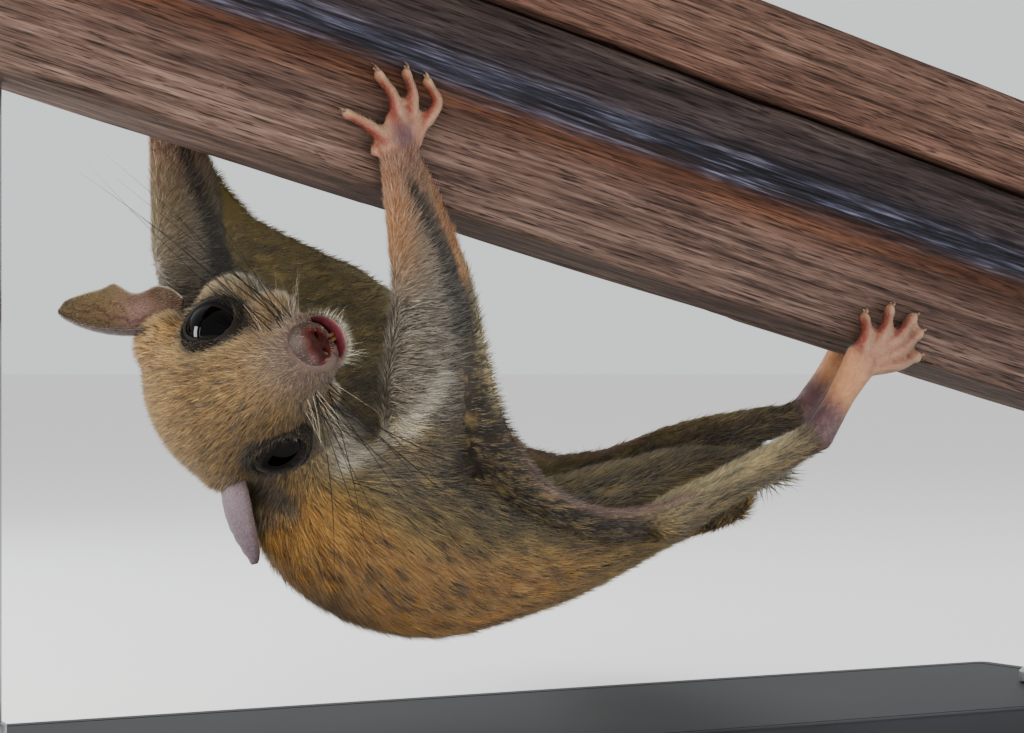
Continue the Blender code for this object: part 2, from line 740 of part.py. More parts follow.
def foot(side):
    """Heel, sole, five toes and claws, cut flat at the ankle."""
    outward = LIMB_SIDES[side]
    _, knee, ankle = (np.array(joint) for joint in LEGS[side])
    across = np.array((1.0, -outward, 1.0))
    ball_place = ankle + np.array(FOOT_BALL) * across
    stub = spread_rows(lerp(knee, ankle, 0.85), ankle, SHANK_SIZES[2:] * 2)
    pieces = [tube("stub", stub, SIDEWAYS, 4, 18)]
    heel = ankle + np.array((2.6, 0.0, 0.8))
    sole_rows = [
        (*heel, 3.4, 3.3),
        (*lerp(heel, ball_place, 0.5), 3.0, 2.8),
        (*ball_place, 4.4, 2.4),
    ]
    pieces.append(tube("sole", sole_rows, SIDEWAYS, steps=12, sides=18))
    claws = []
    for along, up, first, second, length in TOES:
        root = ball_place + np.array((along, 0.0, up))
        rows, way = digit_rows(root, side, first, second, length, TOE_RADIUS)
        pieces.append(tube("toe", rows, SIDEWAYS, steps=12, sides=12))
        claws.append(claw(rows[-1][:3], way, side, TOE_RADIUS))
    melted = fuse(f"{side}_foot", pieces, PAW_VOXEL, 3)
    behind = box_between(lerp(knee, ankle, 0.5), lerp(knee, ankle, 1.0), 9.0)
    combine(melted, swollen_copy(behind, 2.0 * GAP), "DIFFERENCE")
    remove_all([behind])
    return melted, claws


# Gliding membranes

# Rows of X, Y, Z from the wrist to the ankle: along the root in the flesh, and along the free edge
MEMBRANES = {
    "right": (
        (
            (-40.0, -19.6, 118.0),
            (-35.0, -19.8, 95.0),
            (-29.0, -14.0, 73.0),
            (-13.0, -14.6, 52.0),
            (4.0, -14.2, 45.0),
            (20.0, -15.0, 46.0),
            (38.0, -18.6, 54.6),
            (53.0, -19.8, 62.0),
        ),
        (
            (-35.6, -20.0, 118.5),
            (-31.0, -20.6, 108.5),
            (-25.6, -21.4, 96.0),
            (-22.6, -21.8, 82.0),
            (-19.6, -21.8, 71.5),
            (-8.6, -21.6, 56.4),
            (2.6, -21.4, 52.0),
            (12.4, -21.2, 51.6),
            (27.4, -21.2, 55.0),
            (42.0, -21.0, 60.0),
            (52.6, -20.4, 64.6),
        ),
    ),
    "left": (
        (
            (-72.5, 13.2, 127.0),
            (-64.0, 18.0, 99.0),
            (-44.0, 14.0, 76.0),
            (-25.0, 14.6, 56.0),
            (-5.0, 14.2, 48.0),
            (15.0, 13.6, 49.0),
            (34.0, 18.0, 55.0),
            (48.0, 23.0, 60.0),
            (73.0, 13.6, 68.2),
        ),
        (
            (-67.5, 12.6, 123.0),
            (-58.5, 15.6, 112.0),
            (-44.0, 18.0, 105.5),
            (-26.5, 19.0, 98.5),
            (-6.0, 19.4, 79.0),
            (12.0, 19.2, 62.0),
            (28.0, 20.0, 62.0),
            (48.0, 20.0, 67.4),
            (71.0, 14.6, 71.5),
        ),
    ),
}
# Half thickness at the root and at the free edge, and how far the membrane bulges outwards
MEMBRANE_HALF = (1.3, 0.6)
MEMBRANE_BULGE = 1.4


def membrane(side):
    """The furred skin between arm, flank and leg, thinner towards its free edge."""
    root_line, edge_line = MEMBRANES[side]
    root = course(root_line, 19)
    edge = course(edge_line, 19)
    swell = LIMB_SIDES[side] * MEMBRANE_BULGE
    rows = []
    for inner, outer in zip(root, edge):
        row = []
        for share in np.linspace(0.0, 1.0, 5):
            place = lerp(inner, outer, share) + SIDEWAYS * swell * np.sin(np.pi * share)
            half = MEMBRANE_HALF[0] + (MEMBRANE_HALF[1] - MEMBRANE_HALF[0]) * share
            row.append((*place, half))
        rows.append(row)
    return sheet(f"{side}_membrane", rows)


# Perch and stand

SLOPE_TURN = Matrix.Rotation(np.radians(-TIMBER_SLOPE), 3, "Y")


def timber_block(name, height, thick, above):
    """A length of sawn wood whose underside lies the given height above that of the timber."""
    foot_point = Vector((MIDDLE_X, TIMBER_MIDDLE_Y, timber_underside(MIDDLE_X)))
    centre = foot_point + SLOPE_TURN @ Vector((0.0, 0.0, above + 0.5 * height))
    return block(name, centre, (TIMBER_LENGTH, thick, height), SLOPE_TURN, 1.2)


def stand_rod(name, x, timber):
    top = timber_underside(x) + ROD_SUNK
    foot_point = (x, TIMBER_MIDDLE_Y, BASE_HEIGHT + GAP)
    bar = rod(name, foot_point, (x, TIMBER_MIDDLE_Y, top), (ROD_RADIUS, ROD_RADIUS), 24, up_hint=SIDEWAYS)
    return cut_clear(bar, [timber])


# Triangles of each node before small forms are cut or added
TRIANGLES = {
    "head": 2000,
    "neck": 280,
    "chest": 640,
    "belly": 420,
    "rump": 280,
    "upper_arm": 230,
    "forearm": 220,
    "hand": 500,
    "thigh": 180,
    "shank": 200,
    "foot": 520,
    "tail_1": 220,
    "tail_2": 300,
    "tail_3": 220,
    "tail_4": 180,
}

# Colour, roughness and metallic value of each kind of surface
SURFACES = {
    "orange_fur": ((0.42, 0.22, 0.08), 0.85, 0.0),
    "grey_fur": ((0.24, 0.20, 0.16), 0.85, 0.0),
    "pale_fur": ((0.52, 0.44, 0.30), 0.85, 0.0),
    "pink_skin": ((0.55, 0.26, 0.20), 0.55, 0.0),
    "ear_skin": ((0.40, 0.24, 0.18), 0.55, 0.0),
    "dark_eye": ((0.01, 0.008, 0.008), 0.05, 0.0),
    "tooth": ((0.70, 0.30, 0.06), 0.35, 0.0),
    "old_wood": ((0.09, 0.045, 0.03), 0.75, 0.0),
    "plank_wood": ((0.17, 0.075, 0.05), 0.7, 0.0),
    "stand_finish": ((0.05, 0.05, 0.05), 0.4, 0.0),
    "steel": ((0.6, 0.6, 0.6), 0.3, 1.0),
}
SURFACE_OF = {
    "head": "orange_fur",
    "neck": "grey_fur",
    "chest": "orange_fur",
    "belly": "orange_fur",
    "rump": "orange_fur",
    "upper_arm": "grey_fur",
    "forearm": "pale_fur",
    "hand": "pink_skin",
    "thigh": "grey_fur",
    "shank": "grey_fur",
    "foot": "pink_skin",
    "tail": "grey_fur",
    "membrane": "grey_fur",
    "ear": "ear_skin",
    "eye": "dark_eye",
    "incisors": "tooth",
    "perch_beam": "old_wood",
    "perch_plank": "plank_wood",
    "stand_base": "stand_finish",
    "stand_rod": "steel",
}


def kind_of(name, table):
    """The entry of a table whose key is the longest one found in the name."""
    return max((key for key in table if key in name), key=len)


def material(name):
    surface = SURFACE_OF[kind_of(name, SURFACE_OF)]
    colour, roughness, metallic = SURFACES[surface]
    finish = bpy.data.materials.new(f"{name}_{surface}")
    finish.use_nodes = True
    shader = finish.node_tree.nodes["Principled BSDF"]
    shader.inputs["Base Color"].default_value = (*colour, 1.0)
    shader.inputs["Roughness"].default_value = roughness
    shader.inputs["Metallic"].default_value = metallic
    finish.diffuse_color = (*colour, 1.0)
    return finish


def finish(thing, name):
    """Bring a finished piece to metres, centred over the base, with its own material."""
    thing.name = name
    thing.data.name = name
    shift = Matrix.Translation((-MIDDLE_X, 0.0, 0.0))
    thing.data.transform(Matrix.Scale(0.001, 4) @ shift)
    thing.data.materials.clear()
    thing.data.materials.append(material(name))
    thing.data.shade_smooth()
    thing.data.set_sharp_from_angle(angle=np.radians(50.0))


def add_claws(melted, claws):
    for piece in claws:
        combine(melted, piece, "UNION")
    return keep_largest(melted)


def build():
    clear_scene()
    nodes = part_flesh(flesh())
    claws = {}
    for side in ARMS:
        nodes[f"{side}_hand"], claws[f"{side}_hand"] = hand(side)
        nodes[f"{side}_foot"], claws[f"{side}_foot"] = foot(side)
    for name, thing in nodes.items():
        nodes[name] = thin_out(thing, TRIANGLES[kind_of(name, TRIANGLES)])
    guards = {"neck": ["head", "chest"]}
    for side in ARMS:
        guards[f"{side}_upper_arm"] = ["chest", f"{side}_forearm", "neck"]
        guards[f"{side}_thigh"] = ["rump", "belly", f"{side}_shank"]
        guards[f"{side}_shank"] = ["rump", "belly"]
    for name, neighbours in guards.items():
        nodes[name] = cut_clear(nodes[name], [nodes[key] for key in neighbours], LEAST_GAP)
    for name, hooks in claws.items():
        nodes[name] = add_claws(nodes[name], hooks)
    nodes["head"] = carve_head(nodes["head"])
    nodes["incisors"] = incisors()
    nodes["head"] = cut_clear(nodes["head"], [nodes["incisors"]])
    for side, (sign, *placing) in EARS.items():
        beside_ear = [nodes[key] for key in ("head", "neck", "chest")]
        nodes[f"{side}_ear"] = cut_clear(ear(sign, *placing), beside_ear)
        nodes[f"{side}_eye"] = ball("eye", eye_centre(sign), [EYE_RADIUS] * 3)
        near = [f"{side}_{limb}" for limb in ("forearm", "upper_arm", "hand", "thigh", "shank", "foot")]
        touched = [nodes[key] for key in near + ["chest", "belly", "rump", "neck"]]
        nodes[f"{side}_membrane"] = cut_clear(membrane(side), touched)
    nodes["perch_beam"] = timber_block("perch_beam", TIMBER_HEIGHT, TIMBER_THICK, 0.0)
    nodes["perch_plank"] = timber_block("perch_plank", PLANK_HEIGHT, PLANK_THICK, TIMBER_HEIGHT + GAP)
    base_middle = (MIDDLE_X, 0.0, 0.5 * BASE_HEIGHT)
    base_size = (BASE_LENGTH, BASE_WIDTH, BASE_HEIGHT)
    nodes["stand_base"] = block("stand_base", base_middle, base_size, bevel=2.0)
    nodes["stand_rod_head"] = stand_rod("stand_rod_head", ROD_HEAD_X, nodes["perch_beam"])
    nodes["stand_rod_tail"] = stand_rod("stand_rod_tail", ROD_TAIL_X, nodes["perch_beam"])
    for name, thing in nodes.items():
        finish(thing, name)


build()
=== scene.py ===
# %% [markdown]
# # A flying squirrel under its timber
# This lesson dresses the plain solids of a life-size display model. The solids are loaded first and
# are never moved: every new piece is made in metres, in the same place as the solid it stands for.
# %% Load the solids
import math

import bmesh
import bpy
import numpy as np
from mathutils import Matrix, Vector, noise
from mathutils.bvhtree import BVHTree


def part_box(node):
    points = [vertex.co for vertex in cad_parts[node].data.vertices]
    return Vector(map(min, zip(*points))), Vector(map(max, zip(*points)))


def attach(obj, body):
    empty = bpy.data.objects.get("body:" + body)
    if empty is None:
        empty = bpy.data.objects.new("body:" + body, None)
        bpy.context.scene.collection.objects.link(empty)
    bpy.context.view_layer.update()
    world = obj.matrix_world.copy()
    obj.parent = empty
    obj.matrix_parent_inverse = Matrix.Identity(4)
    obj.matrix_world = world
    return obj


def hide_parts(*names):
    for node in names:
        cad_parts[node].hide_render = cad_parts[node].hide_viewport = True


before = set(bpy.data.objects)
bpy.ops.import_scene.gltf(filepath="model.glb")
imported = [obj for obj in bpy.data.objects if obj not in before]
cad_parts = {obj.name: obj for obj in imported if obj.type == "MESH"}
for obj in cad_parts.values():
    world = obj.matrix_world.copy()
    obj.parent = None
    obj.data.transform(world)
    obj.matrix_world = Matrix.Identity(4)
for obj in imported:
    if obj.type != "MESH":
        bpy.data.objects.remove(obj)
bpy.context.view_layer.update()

print(len(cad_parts), "solids loaded")

# %% [markdown]
# ## Small helpers
# Real sizes are easiest to read in millimetres, so `MM` turns them to metres. Colours are written as
# the hex values a painter would pick on screen, and one function turns them to the linear values that
# shaders work with.
# %% Millimetres and colours
MM = 0.001


def linear(code):
    """Linear red, green and blue of an sRGB hex colour."""
    shares = [int(code[k : k + 2], 16) / 255 for k in (1, 3, 5)]
    return [s / 12.92 if s <= 0.04045 else ((s + 0.055) / 1.055) ** 2.4 for s in shares]


print("mid grey is", round(linear("#808080")[0], 3))

# %% [markdown]
# A material is a small network of nodes. One function adds a node, sets its values and joins its
# links, so that each material below reads as a list of what it is made of.
# %% Materials from nodes
def new_material(name, colour, roughness, **sockets):
    """A material whose main shader has the given plain values."""
    material = bpy.data.materials.new(name)
    material.use_nodes = True
    shader = material.node_tree.nodes["Principled BSDF"]
    shader.inputs["Base Color"].default_value = (*linear(colour), 1.0)
    shader.inputs["Roughness"].default_value = roughness
    for key, value in sockets.items():
        shader.inputs[key.replace("_", " ")].default_value = value
    return material, material.node_tree, shader


def add(tree, kind, links=None, **settings):
    """A node of the given kind; links go from a socket's name or number to what feeds it."""
    node = tree.nodes.new("ShaderNode" + kind)
    for key, value in settings.items():
        setattr(node, key, value)
    for key, source in (links or {}).items():
        if isinstance(source, bpy.types.NodeSocket):
            tree.links.new(source, node.inputs[key])
        else:
            node.inputs[key].default_value = source
    return node


def ramp(tree, source, stops):
    """A colour ramp with hex colours at the given places."""
    node = add(tree, "ValToRGB", {"Fac": source})
    elements = node.color_ramp.elements
    while len(elements) < len(stops):
        elements.new(0.5)
    for element, (place, colour) in zip(elements, stops):
        element.position = place
        element.color = (*linear(colour), 1.0)
    return node.outputs["Color"]


def bump(tree, shader, height, depth_mm, strength=1.0, under=None):
    """Raise the shader's surface by a height from 0 to 1, given its depth in millimetres."""
    links = {"Height": height, "Distance": depth_mm * MM, "Strength": strength}
    if under:
        links["Normal"] = under
    node = add(tree, "Bump", links)
    tree.links.new(node.outputs["Normal"], shader.inputs["Normal"])
    return node.outputs["Normal"]


def object_place(tree, grain_mm=(1.0, 1.0, 1.0), turn=(0.0, 0.0, 0.0)):
    """Object coordinates turned and stretched so that one unit is one grain of the given size."""
    where = add(tree, "TexCoord").outputs["Object"]
    turned = add(tree, "Mapping", {"Vector": where, "Rotation": turn}).outputs["Vector"]
    scale = [1.0 / (size * MM) for size in grain_mm]
    return add(tree, "Mapping", {"Vector": turned, "Scale": scale}).outputs["Vector"]


def noise_at(tree, place, scale=1.0, detail=3.0, roughness=0.5):
    links = {"Vector": place, "Scale": scale, "Detail": detail, "Roughness": roughness}
    return add(tree, "TexNoise", links).outputs["Fac"]


def mix(tree, share, first, second, kind="MIX"):
    """Mix two colours; a colour is a socket or a hex value."""
    node = add(tree, "Mix", data_type="RGBA", blend_type=kind)
    for number, value in ((0, share), (6, first), (7, second)):
        if isinstance(value, bpy.types.NodeSocket):
            tree.links.new(value, node.inputs[number])
        else:
            node.inputs[number].default_value = value if number == 0 else (*linear(value), 1.0)
    return node.outputs[2]


print("material helpers ready")

# %% [markdown]
# Pieces are shaped in a bmesh, Blender's editable mesh. `finish_mesh` turns one into an object at the
# origin, and `settle` hangs it on the model and hides the plain solids it stands for.
# %% From bmesh to finished piece
def finish_mesh(work, name, material, outward=False):
    if outward:
        bmesh.ops.recalc_face_normals(work, faces=work.faces)
    mesh = bpy.data.meshes.new(name)
    work.to_mesh(mesh)
    work.free()
    mesh.materials.append(material)
    mesh.shade_smooth()
    piece = bpy.data.objects.new(name, mesh)
    bpy.context.scene.collection.objects.link(piece)
    return piece


def settle(piece, slot, *nodes):
    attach(piece, "root")
    if nodes:
        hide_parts(*nodes)
    print(piece.name, len(piece.data.polygons), "faces")
    return piece


def points_of(mesh):
    flat = np.empty(len(mesh.vertices) * 3, dtype=np.float32)
    mesh.vertices.foreach_get("co", flat)
    return flat.reshape(-1, 3).astype(float)


# %% [markdown]
# ## Camera and studio
# The photograph looks up the animal's right shoulder, level with its head, from half a metre away. The
# studio is a pale floor under a pale sky, with one big soft light on the left as from a window.
# %% Camera
CAMERA_PLACE = Vector((-311.4, -517.8, 80.0)) * MM
CAMERA_TURN = -30.0
camera = bpy.data.objects.new("camera", bpy.data.cameras.new("camera"))
camera.data.lens = 102.4
camera.data.sensor_width = 36.0
camera.data.clip_start = 0.01
camera.location = CAMERA_PLACE
camera.rotation_euler = (math.radians(90.0), 0.0, math.radians(CAMERA_TURN))
bpy.context.scene.collection.objects.link(camera)
bpy.context.scene.camera = camera
print("camera at", [round(v, 3) for v in camera.location])

# %% Floor and light
FLOOR_RADIUS = 30.0
work = bmesh.new()
bmesh.ops.create_circle(work, cap_ends=True, segments=96, radius=FLOOR_RADIUS)
paper, _, _ = new_material("studio_paper", "#f2f1ee", 0.9)
floor = finish_mesh(work, "floor", paper)

world = bpy.data.worlds.new("studio")
world.use_nodes = True
world.node_tree.nodes["Background"].inputs["Color"].default_value = (*linear("#f4f7f8"), 1.0)
world.node_tree.nodes["Background"].inputs["Strength"].default_value = 0.8
bpy.context.scene.world = world


def soft_light(name, place, aim, size, power, colour, mirrored=True):
    """A square lamp aimed at a place; one that isn't mirrored leaves no glint in the eyes."""
    lamp = bpy.data.lights.new(name, "AREA")
    lamp.shape = "RECTANGLE"
    lamp.size, lamp.size_y = size
    lamp.energy = power
    lamp.color = linear(colour)
    thing = bpy.data.objects.new(name, lamp)
    thing.location = place
    thing.rotation_euler = (Vector(aim) - Vector(place)).to_track_quat("-Z", "Y").to_euler()
    thing.visible_glossy = mirrored
    bpy.context.scene.collection.objects.link(thing)


soft_light("window", (-0.72, 0.20, 0.14), (-0.08, -0.01, 0.07), (0.32, 0.32), 6.5, "#fffdf8")
soft_light("front", (-0.55, -0.62, 0.45), (0.0, 0.0, 0.07), (0.5, 0.5), 4.0, "#fff8ee", False)
soft_light("bounce", (-0.12, -0.35, 0.035), (-0.02, -0.02, 0.06), (0.3, 0.06), 0.7, "#fffaf0", False)
soft_light("sky", (0.1, 0.1, 1.2), (0.0, 0.0, 0.1), (1.2, 1.2), 5.0, "#f3f7ff", False)
soft_light("rear", (-0.3, 0.75, 0.3), (0.0, 0.0, 0.07), (0.4, 0.4), 2.2, "#f3f7ff", False)
soft_light("glint", (0.35, -0.33, 0.05), (-0.08, -0.02, 0.07), (0.05, 0.25), 0.5, "#f6f9ff")
view = bpy.context.scene.view_settings
view.view_transform = "AgX"
view.look = "AgX - Medium High Contrast"
view.exposure = 0.0
print("studio lit")

# %% [markdown]
# ## The perch
# The timber is an old sawn hardwood beam with a plank on top. Weather has washed the soft grain out, so
# the hard grain stands up in long ridges. A plain block is divided finely, its edges are rounded, and
# its skin is pressed in along the grain. Nothing is pushed outwards, so the hands still meet the wood.
# %% Sawn timber with worn grain
SLOPE = math.radians(14.2)
SLOPE_TURN = Matrix.Rotation(SLOPE, 3, "Y")
EDGE_WEAR = 1.6 * MM
TIMBERS = {
    "perch_beam": (280.0, 22.0, 43.0),
    "perch_plank": (280.0, 26.0, 20.0),
}


def middle_of(node):
    low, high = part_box(node)
    return (low + high) / 2


def grain_depth(place, seed):
    """How deep the weather has bitten at a place along, across and up the wood, from 0 to 1."""
    x, y, z = place
    broad = noise.noise(Vector((x * 16.0, y * 160.0, z * 160.0 + seed)))
    fine = noise.noise(Vector((x * 55.0, y * 480.0, z * 480.0 - seed)))
    split = noise.noise(Vector((x * 7.0 + seed, y * 60.0, z * 240.0)))
    crack = max(0.0, 0.12 - abs(split)) / 0.12 if broad > 0.1 else 0.0
    return 0.35 - 0.3 * broad - 0.25 * fine + 0.8 * crack**2


def timber(name, size, material, seed):
    half = Vector(size) * MM / 2
    work = bmesh.new()
    bmesh.ops.create_cube(work, size=2.0)
    bmesh.ops.scale(work, verts=work.verts, vec=half)
    for axis, step in ((0, 2.2), (1, 1.0), (2, 1.0)):
        along = [e for e in work.edges if abs((e.verts[0].co - e.verts[1].co).normalized()[axis]) > 0.99]
        cuts = int(size[axis] / step)
        bmesh.ops.subdivide_edges(work, edges=along, cuts=cuts, use_grid_fill=True)
    centre = middle_of(name)
    inner = half - Vector((EDGE_WEAR,) * 3)
    for vert in work.verts:
        core = Vector([max(-i, min(i, c)) for i, c in zip(inner, vert.co)])
        outward = (vert.co - core).normalized()
        depth = grain_depth(vert.co, seed) * 0.55 * MM
        vert.co = core + outward * (EDGE_WEAR - max(depth, 0.0))
    bmesh.ops.rotate(work, verts=work.verts, matrix=SLOPE_TURN)
    bmesh.ops.translate(work, verts=work.verts, vec=centre)
    return finish_mesh(work, name.replace("perch", "weathered"), material)


# %% [markdown]
# Old hardwood goes grey-brown. The ground colour follows the height on the wood: on the beam pinkish grey
# low down, redder brown higher up, one blue-black band, and dark grey above it. Noises stretched along
# the wood, from broad boards of tone down to open pores a quarter of a millimetre wide, break it up.
# %% Weathered hardwood
def old_wood(name, zones, height_of_wood, underside, band=None):
    material, tree, shader = new_material(name, "#5b4540", 0.78, Specular_IOR_Level=0.25)
    turn = (0.0, -SLOPE, 0.0)
    grain, medium, broad, pores = (
        noise_at(tree, object_place(tree, size, turn), 1.0, detail, 0.6)
        for size, detail in (((13.0, 0.6, 0.5), 3.0), ((42.0, 2.4, 2.0), 4.0), ((120.0, 14.0, 11.0), 3.0),
                             ((8.0, 0.36, 0.3), 2.0))
    )
    height = add(tree, "SeparateXYZ", {0: object_place(tree, (1.0, 1.0, 1.0), turn)}).outputs["Z"]
    wander = add(tree, "MapRange", {"Value": medium, 1: 0.3, 2: 0.7, 3: -1.6, 4: 1.6}).outputs[0]
    level = add(tree, "Math", {0: height, 1: wander}, operation="ADD").outputs[0]
    share = add(tree, "MapRange", {"Value": level, 1: underside, 2: underside + height_of_wood}).outputs[0]
    ground = ramp(tree, share, zones)
    both = add(tree, "Math", {0: grain, 1: medium}, operation="ADD").outputs[0]
    half = add(tree, "Math", {0: both, 1: 0.5}, operation="MULTIPLY").outputs[0]
    lines = ramp(tree, half, [(0.36, "#544a48"), (0.5, "#b9b0ad"), (0.64, "#fffaf6")])
    colour = mix(tree, 0.85, ground, lines, "MULTIPLY")
    colour = mix(tree, 0.5, colour, ramp(tree, broad, [(0.3, "#8f8682"), (0.7, "#ffffff")]), "MULTIPLY")
    colour = mix(tree, 0.75, colour, ramp(tree, pores, [(0.35, "#2c2422"), (0.45, "#ffffff")]), "MULTIPLY")
    if band is not None:
        # Round one height the colour turns near-black to blue-grey along the grain, full over a band and fading out
        # over a few millimetres.
        away = add(tree, "Math", {0: level, 1: underside + band}, operation="SUBTRACT").outputs[0]
        off = add(tree, "Math", {0: away}, operation="ABSOLUTE").outputs[0]
        edge = add(tree, "MapRange", {"Value": off, 1: 1.5, 2: 5.5, 3: 0.92, 4: 0.0}).outputs[0]
        band_tone = ramp(tree, half, [(0.38, "#131318"), (0.48, "#22232b"), (0.55, "#3b3d4a"), (0.64, "#66687b")])
        colour = mix(tree, edge, colour, band_tone)
    tree.links.new(colour, shader.inputs["Base Color"])
    bump(tree, shader, both, 0.35, 0.8, bump(tree, shader, pores, 0.12, 0.8))
    return material


def underside_of(name):
    return (SLOPE_TURN.inverted() @ middle_of(name)).z / MM - TIMBERS[name][2] / 2


BEAM_ZONES = [(0.0, "#817069"), (0.36, "#79665f"), (0.5, "#6f5142"), (0.62, "#564139"), (0.78, "#4b4447"), (1.0, "#554c4a")]
PLANK_ZONES = [(0.0, "#7a6056"), (0.5, "#876f64"), (1.0, "#7b655b")]
beam_wood = old_wood("weathered_hardwood_beam", BEAM_ZONES, 43.0, underside_of("perch_beam"), 28.0)
plank_wood = old_wood("weathered_hardwood_plank", PLANK_ZONES, 20.0, underside_of("perch_plank"))
beam = timber("perch_beam", TIMBERS["perch_beam"], beam_wood, 3.0)
plank = timber("perch_plank", TIMBERS["perch_plank"], plank_wood, 17.0)
settle(beam, "old_timber", "perch_beam")
settle(plank, "plank", "perch_plank")

# %% [markdown]
# ## The stand
# A museum base is a plain painted board, and the rods are turned steel with a collar where each one
# enters the board. The board keeps its solid's size; its edge gets a small round and a shadow groove.
# %% Painted base board
# How far in from the board's side and how far under its top each ring lies, in millimetres
BOARD_STEPS = ((0.0, 0.6), (0.18, 0.18), (0.6, 0.0), (4.0, 0.0), (4.2, 0.4), (4.6, 0.4), (4.8, 0.0), (8.0, 0.0))


def base_board():
    """Rounded rectangles stacked from the foot to the groove and on over the top."""
    low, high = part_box("stand_base")
    middle, half = (low + high) / 2.0, (high - low) / 2.0
    thick = 2.0 * half.z / MM
    work = bmesh.new()
    rings = []
    for inset, drop in ((0.6, thick), (0.0, thick - 0.6)) + BOARD_STEPS:
        round_size = max(3.0 - inset, 0.8) * MM
        reach = [half.x - inset * MM - round_size, half.y - inset * MM - round_size]
        ring = []
        for number in range(28):
            corner, part = divmod(number, 7)
            angle = math.radians(90.0 * corner + 15.0 * part)
            x = (1, -1, -1, 1)[corner] * reach[0] + round_size * math.cos(angle)
            y = (1, 1, -1, -1)[corner] * reach[1] + round_size * math.sin(angle)
            ring.append(work.verts.new((middle.x + x, middle.y + y, high.z - drop * MM)))
        rings.append(ring)
    for lower, upper in zip(rings, rings[1:]):
        for k in range(28):
            work.faces.new((lower[k], lower[(k + 1) % 28], upper[(k + 1) % 28], upper[k]))
    work.faces.new(rings[0][::-1])
    work.faces.new(rings[-1])
    return work


def satin_paint():
    """Sprayed satin enamel: an even coat whose gloss is broken by a faint orange-peel."""
    material, tree, shader = new_material("satin_black_enamel", "#16171a", 0.5, Specular_IOR_Level=0.35)
    peel = noise_at(tree, object_place(tree, (1.2, 1.2, 1.2)), 1.0, 2.0)
    bump(tree, shader, peel, 0.02, 0.5)
    dust = noise_at(tree, object_place(tree, (40.0, 40.0, 40.0)), 1.0, 4.0)
    tree.links.new(ramp(tree, dust, [(0.3, "#141518"), (0.8, "#202226")]), shader.inputs["Base Color"])
    return material


base = finish_mesh(base_board(), "base_board", satin_paint(), outward=True)
base.data.set_sharp_from_angle(angle=math.radians(35.0))
settle(base, "stand_board", "stand_base")

# %% Steel rods with collars
def brushed_steel():
    """Drawn steel rod: fine turned lines run round it and blur the reflections along it."""
    material, tree, shader = new_material("brushed_steel_rod", "#b9bbbd", 0.32, Metallic=1.0)
    lines = noise_at(tree, object_place(tree, (8.0, 8.0, 0.12)), 1.0, 2.0)
    bump(tree, shader, lines, 0.01, 0.6)
    return material


def turned(work, centre, profile, sides=48):
    """Turn a profile of radius and height rows, in millimetres, round an upright axis."""
    verts = [work.verts.new(centre + Vector((r, 0.0, z)) * MM) for r, z in profile]
    edges = [work.edges.new(pair) for pair in zip(verts, verts[1:])]
    ends = bmesh.ops.spin(
        work, geom=verts + edges, cent=centre, axis=(0.0, 0.0, 1.0), dvec=(0.0, 0.0, 0.0),
        angle=2.0 * math.pi, steps=sides, use_merge=True, use_duplicate=False,
    )
    bmesh.ops.remove_doubles(work, verts=work.verts, dist=1e-6)
    return ends


steel = brushed_steel()
for rod_name in ("stand_rod_head", "stand_rod_tail"):
    low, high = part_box(rod_name)
    centre = Vector(((low.x + high.x) / 2, (low.y + high.y) / 2, 0.0))
    bottom, top = low.z / MM, high.z / MM
    work = bmesh.new()
    profile = [(0.0, bottom), (3.7, bottom), (4.0, bottom + 0.3), (4.0, top), (0.0, top)]
    turned(work, centre, profile)
    collar = [(4.0, bottom - 0.3), (7.4, bottom - 0.3), (7.8, bottom + 0.1), (7.8, bottom + 2.2)]
    collar += [(7.2, bottom + 2.8), (5.2, bottom + 3.0), (4.9, bottom + 3.6), (4.9, bottom + 5.6)]
    collar += [(4.6, bottom + 6.0), (4.0, bottom + 6.0)]
    turned(work, centre, collar)
    piece = finish_mesh(work, rod_name.replace("stand_", "steel_"), steel, outward=True)
    piece.data.set_sharp_from_angle(angle=math.radians(40.0))
    settle(piece, "stand_rod", rod_name)

# %% [markdown]
# ## Landmarks of the animal
# The head has its own axes: forward along the face, the animal's left, and up to the crown. `head_point`
# turns a place on the head to the frame's metres, and `head_local` turns points back, so markings can be
# described as a person would: so far in front of the eyes, so far to the side.
# %% Head axes
HEAD_CENTRE = Vector((-77.8, -11.8, 76.1)) * MM
FACE_WAY = Vector((0.017, -0.980, 0.196)).normalized()
CROWN_HINT = Vector((-0.898, -0.102, -0.428)).normalized()
LEFT_WAY = CROWN_HINT.cross(FACE_WAY).normalized()
CROWN_WAY = FACE_WAY.cross(LEFT_WAY).normalized()
HEAD_TURN = Matrix((FACE_WAY, LEFT_WAY, CROWN_WAY)).transposed()
EYE_PLACE = Vector((-0.7, 11.3, -0.7))
EYE_NORMAL = Vector((0.42, 0.80, 0.42)).normalized()
EYE_CORNERS = Vector((-0.92, 0.38, 0.20)).normalized()
EYE_RADIUS = 6.4
# Middle of the lids' opening beside the gaze, its reach back, forward and across, and its slant in degrees
LIDS = {1: ((-1.4, 1.15), (5.3, 5.3, 3.3), 9.0), -1: ((-4.0, -0.4), (5.5, 1.8, 2.0), 34.0)}
NOSE_TIP = Vector((21.0, 0.0, -5.6))
SIDES = {"left": 1, "right": -1}


NOSE_MIDDLE = (17.3, 1.2, -6.3)
NOSE_SIZES = (5.4, 5.2, 4.1)
MOUTH_LEVEL = -10.3


def on_side(vector, side):
    return Vector((vector[0], side * vector[1], vector[2]))


def head_point(forward, left, crown):
    return HEAD_CENTRE + HEAD_TURN @ Vector((forward, left, crown)) * MM


def head_local(points):
    """Forward, left and crown places in millimetres of an array of points in metres."""
    return (np.asarray(points) - np.array(HEAD_CENTRE)) @ np.array(HEAD_TURN) / MM


print("nose tip at", [round(v / MM, 1) for v in head_point(*NOSE_TIP)], "mm")

